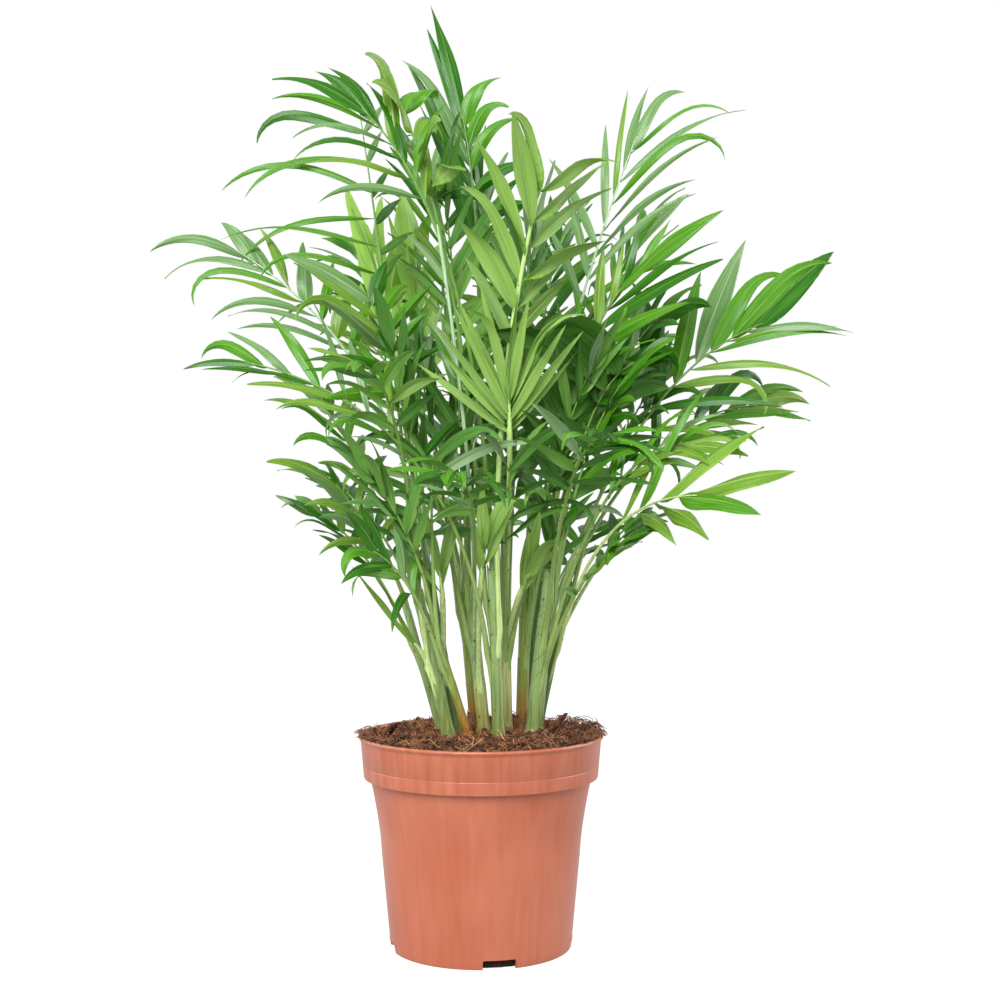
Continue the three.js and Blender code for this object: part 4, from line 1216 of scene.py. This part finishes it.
def leaf_skin(name, dark, light, glow, share, roughness, shine):
    """A thin leaf skin: satin, veined along the blade, lit from behind by what shines through it."""
    material, tree, shader = new_material(name)
    blade = add_node(tree, "ShaderNodeUVMap", uv_map="leaflet").outputs[0]
    # about twelve parallel veins across a blade, and a slow change along it
    lengthwise = add_node(tree, "ShaderNodeMapping", {"Vector": blade, "Scale": (12, 1.6, 1)})
    veins = add_node(
        tree, "ShaderNodeTexNoise", {"Vector": lengthwise.outputs[0], "Scale": 1, "Detail": 3},
    )
    colours = add_node(
        tree, "ShaderNodeValToRGB", {"Fac": veins.outputs[0]}, [(0.4, dark), (0.6, light)],
    )
    bump = add_node(
        tree, "ShaderNodeBump", {"Height": veins.outputs[0], "Strength": 0.4, "Distance": 0.0004},
    )
    set_inputs(tree, shader, {
        "Base Color": colours.outputs["Color"], "Normal": bump.outputs[0], "Roughness": roughness,
        "Specular IOR Level": shine, "IOR": 1.45,
    })
    through = add_node(tree, "ShaderNodeBsdfTranslucent", {"Color": srgb(glow)})
    mixed = add_node(
        tree, "ShaderNodeMixShader", {0: share, 1: shader.outputs[0], 2: through.outputs[0]},
    )
    tree.links.new(mixed.outputs[0], tree.nodes["Material Output"].inputs["Surface"])
    return material


petiole_skins = [
    stem_skin("petiole_mature", ["#7c9450", "#67893a", "#588232"], 230, 520),
    stem_skin("petiole_fresh", ["#a8bc78", "#a8c474", "#a8c678"], 230, 520),
    # the waxy fronds' ribs are grey-green to match the painted sheen of their leaflets
    stem_skin("petiole_waxy", ["#7c9466", "#88a67c", "#90ac86"], 230, 420),
]
sheath_skins = [
    stem_skin("sheath_waxy", ["#626e35", "#6d844a", "#7d9760"], 150, 260),
    stem_skin("sheath_cream", ["#7f7b3f", "#90995a", "#b2b678"], 150, 260),
    stem_skin("sheath_bronze", ["#8c5c1e", "#707a34", "#6e8c40"], 150, 260),
    stem_skin("sheath_dark", ["#505a26", "#456628", "#4a722e"], 150, 260),
]
dry_edge = dry_matter("dry_sheath_edge", "#6a6236", "#a09a62", 2, 0.7)
fronds = [Frond(row) for row in FRONDS]
young = [Frond(row) for row in YOUNG_FRONDS]
# the ones inside the crown push one another out of line
crowded = [frond for frond in young if frond.pairs > 3]
all_fronds = fronds + young

for skin, (label, tones) in enumerate([("mature", (0, 1)), ("fresh", (2, 3, 4)), ("waxy", (WAXY_SHEEN,))]):
    group = [frond for frond in all_fronds if frond.tone in tones]
    shape = joined([rib(frond) for frond in group])
    piece = make_piece(f"ribs_{label}", *shape, [petiole_skins[skin]])
    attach(piece, "root")
    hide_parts(*[f"frond_{frond.name}" for frond in group if frond in fronds])

sheath_parts, sheath_slots = [], []
for number in range(1, CANE_COUNT + 1):
    on_cane = sorted((f for f in all_fronds if f.cane == number), key=lambda f: -f.level)
    for order, frond in enumerate(on_cane):
        points, faces, slots = sheath(frond, order)
        sheath_parts.append((points, faces))
        sheath_slots += slots
sheaths = make_piece(
    "leaf_sheaths", *joined(sheath_parts), [*sheath_skins, dry_edge], sheath_slots, SHEATH_CREASE,
)
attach(sheaths, "root")

PIECE_LIMIT = 300  # leaflets of 614 triangles, which keeps a piece under 200,000 of them
tone_leaflets = [[] for _ in LEAF_TONES]
for frond in all_fronds:
    for tone, points in leaflets_of(frond, CROWDED_TANGLE if frond in crowded else 1):
        tone_leaflets[tone].append(points)
for tone, (label, dark, light, under, midrib, glow, share) in enumerate(LEAF_TONES):
    skins = [
        leaf_skin(f"leaf_upper_{label}", dark, light, glow, share, roughness=0.26, shine=0.45),
        leaf_skin(f"leaf_under_{label}", under, light, glow, share, roughness=0.45, shine=0.3),
        leaf_skin(f"leaf_midrib_{label}", light, midrib, glow, share, roughness=0.4, shine=0.3),
    ]
    for batch, first in enumerate(range(0, len(tone_leaflets[tone]), PIECE_LIMIT)):
        chosen = tone_leaflets[tone][first:first + PIECE_LIMIT]
        points = np.concatenate(chosen)
        starts = range(0, LEAF_POINT_COUNT * len(chosen), LEAF_POINT_COUNT)
        faces = [[start + i for i in face] for start in starts for face in LEAF_FACES]
        piece = make_piece(
            f"leaflets_{label}_{batch + 1}", points, faces, skins, LEAF_SLOTS * len(chosen),
            LEAF_CREASE,
        )
        lay_blade_map(piece.data, len(chosen))
        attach(piece, "root")

# ---------------------------------------------------------------- floor and light
# A white studio: a lit white table and white walls all round, which look brighter than they
# light the plant, one large soft light high on the left, in front of it, and a tall soft light
# on each side, a little behind it, that brightens its edges.

FLOOR_SIZE = 12000
LIGHT_AIM = Vector((0, 0, 300)) * MM
# each light: its name, shape, width, height, place and power in watts
LIGHTS = [
    ("key_light", "DISK", 1700, 1700, (-450, -1900, 1500), 88),
    ("rim_light", "RECTANGLE", 700, 1500, (-1300, 350, 500), 12),
    ("rim_light", "RECTANGLE", 700, 1500, (1300, 350, 500), 17),
]
TABLE_GLOW = 0.93
TABLE_LIGHT = 0.48
WALL_GLOW = 1.0
WALL_LIGHT = 0.82


def seen_or_lighting(tree, seen, lighting):
    """A strength for what the camera sees, and another for what the surface gives to the rest."""
    direct = add_node(tree, "ShaderNodeLightPath").outputs["Is Camera Ray"]
    strength = add_node(tree, "ShaderNodeMix", {0: direct, 2: lighting, 3: seen}, data_type="FLOAT")
    return strength.outputs[0]


floor_material, floor_tree, floor_shader = new_material("light_table")
set_inputs(floor_tree, floor_shader, {
    "Base Color": srgb("#6e6e6e"), "Roughness": 0.9, "Specular IOR Level": 0,
    "Emission Color": srgb("#ffffff"),
    "Emission Strength": seen_or_lighting(floor_tree, TABLE_GLOW, TABLE_LIGHT),
})
half_floor = FLOOR_SIZE / 2
corners = [(x * half_floor, y * half_floor, 0) for x, y in ((-1, -1), (1, -1), (1, 1), (-1, 1))]
floor = make_piece("studio_floor", corners, [[0, 1, 2, 3]], [floor_material])

for name, shape, wide, tall, place, power in LIGHTS:
    light_data = bpy.data.lights.new(name, "AREA")
    light_data.shape = shape
    light_data.size, light_data.size_y = wide * MM, tall * MM
    light_data.energy = power
    light = bpy.data.objects.new(name, light_data)
    light.location = Vector(place) * MM
    light.rotation_euler = (LIGHT_AIM - light.location).to_track_quat("-Z", "Y").to_euler()
    bpy.context.scene.collection.objects.link(light)

world = bpy.data.worlds.new("white_studio")
world.use_nodes = True
set_inputs(world.node_tree, world.node_tree.nodes["Background"], {
    "Color": srgb("#ffffff"), "Strength": seen_or_lighting(world.node_tree, WALL_GLOW, WALL_LIGHT),
})
bpy.context.scene.world = world
bpy.context.scene.view_settings.view_transform = "Standard"
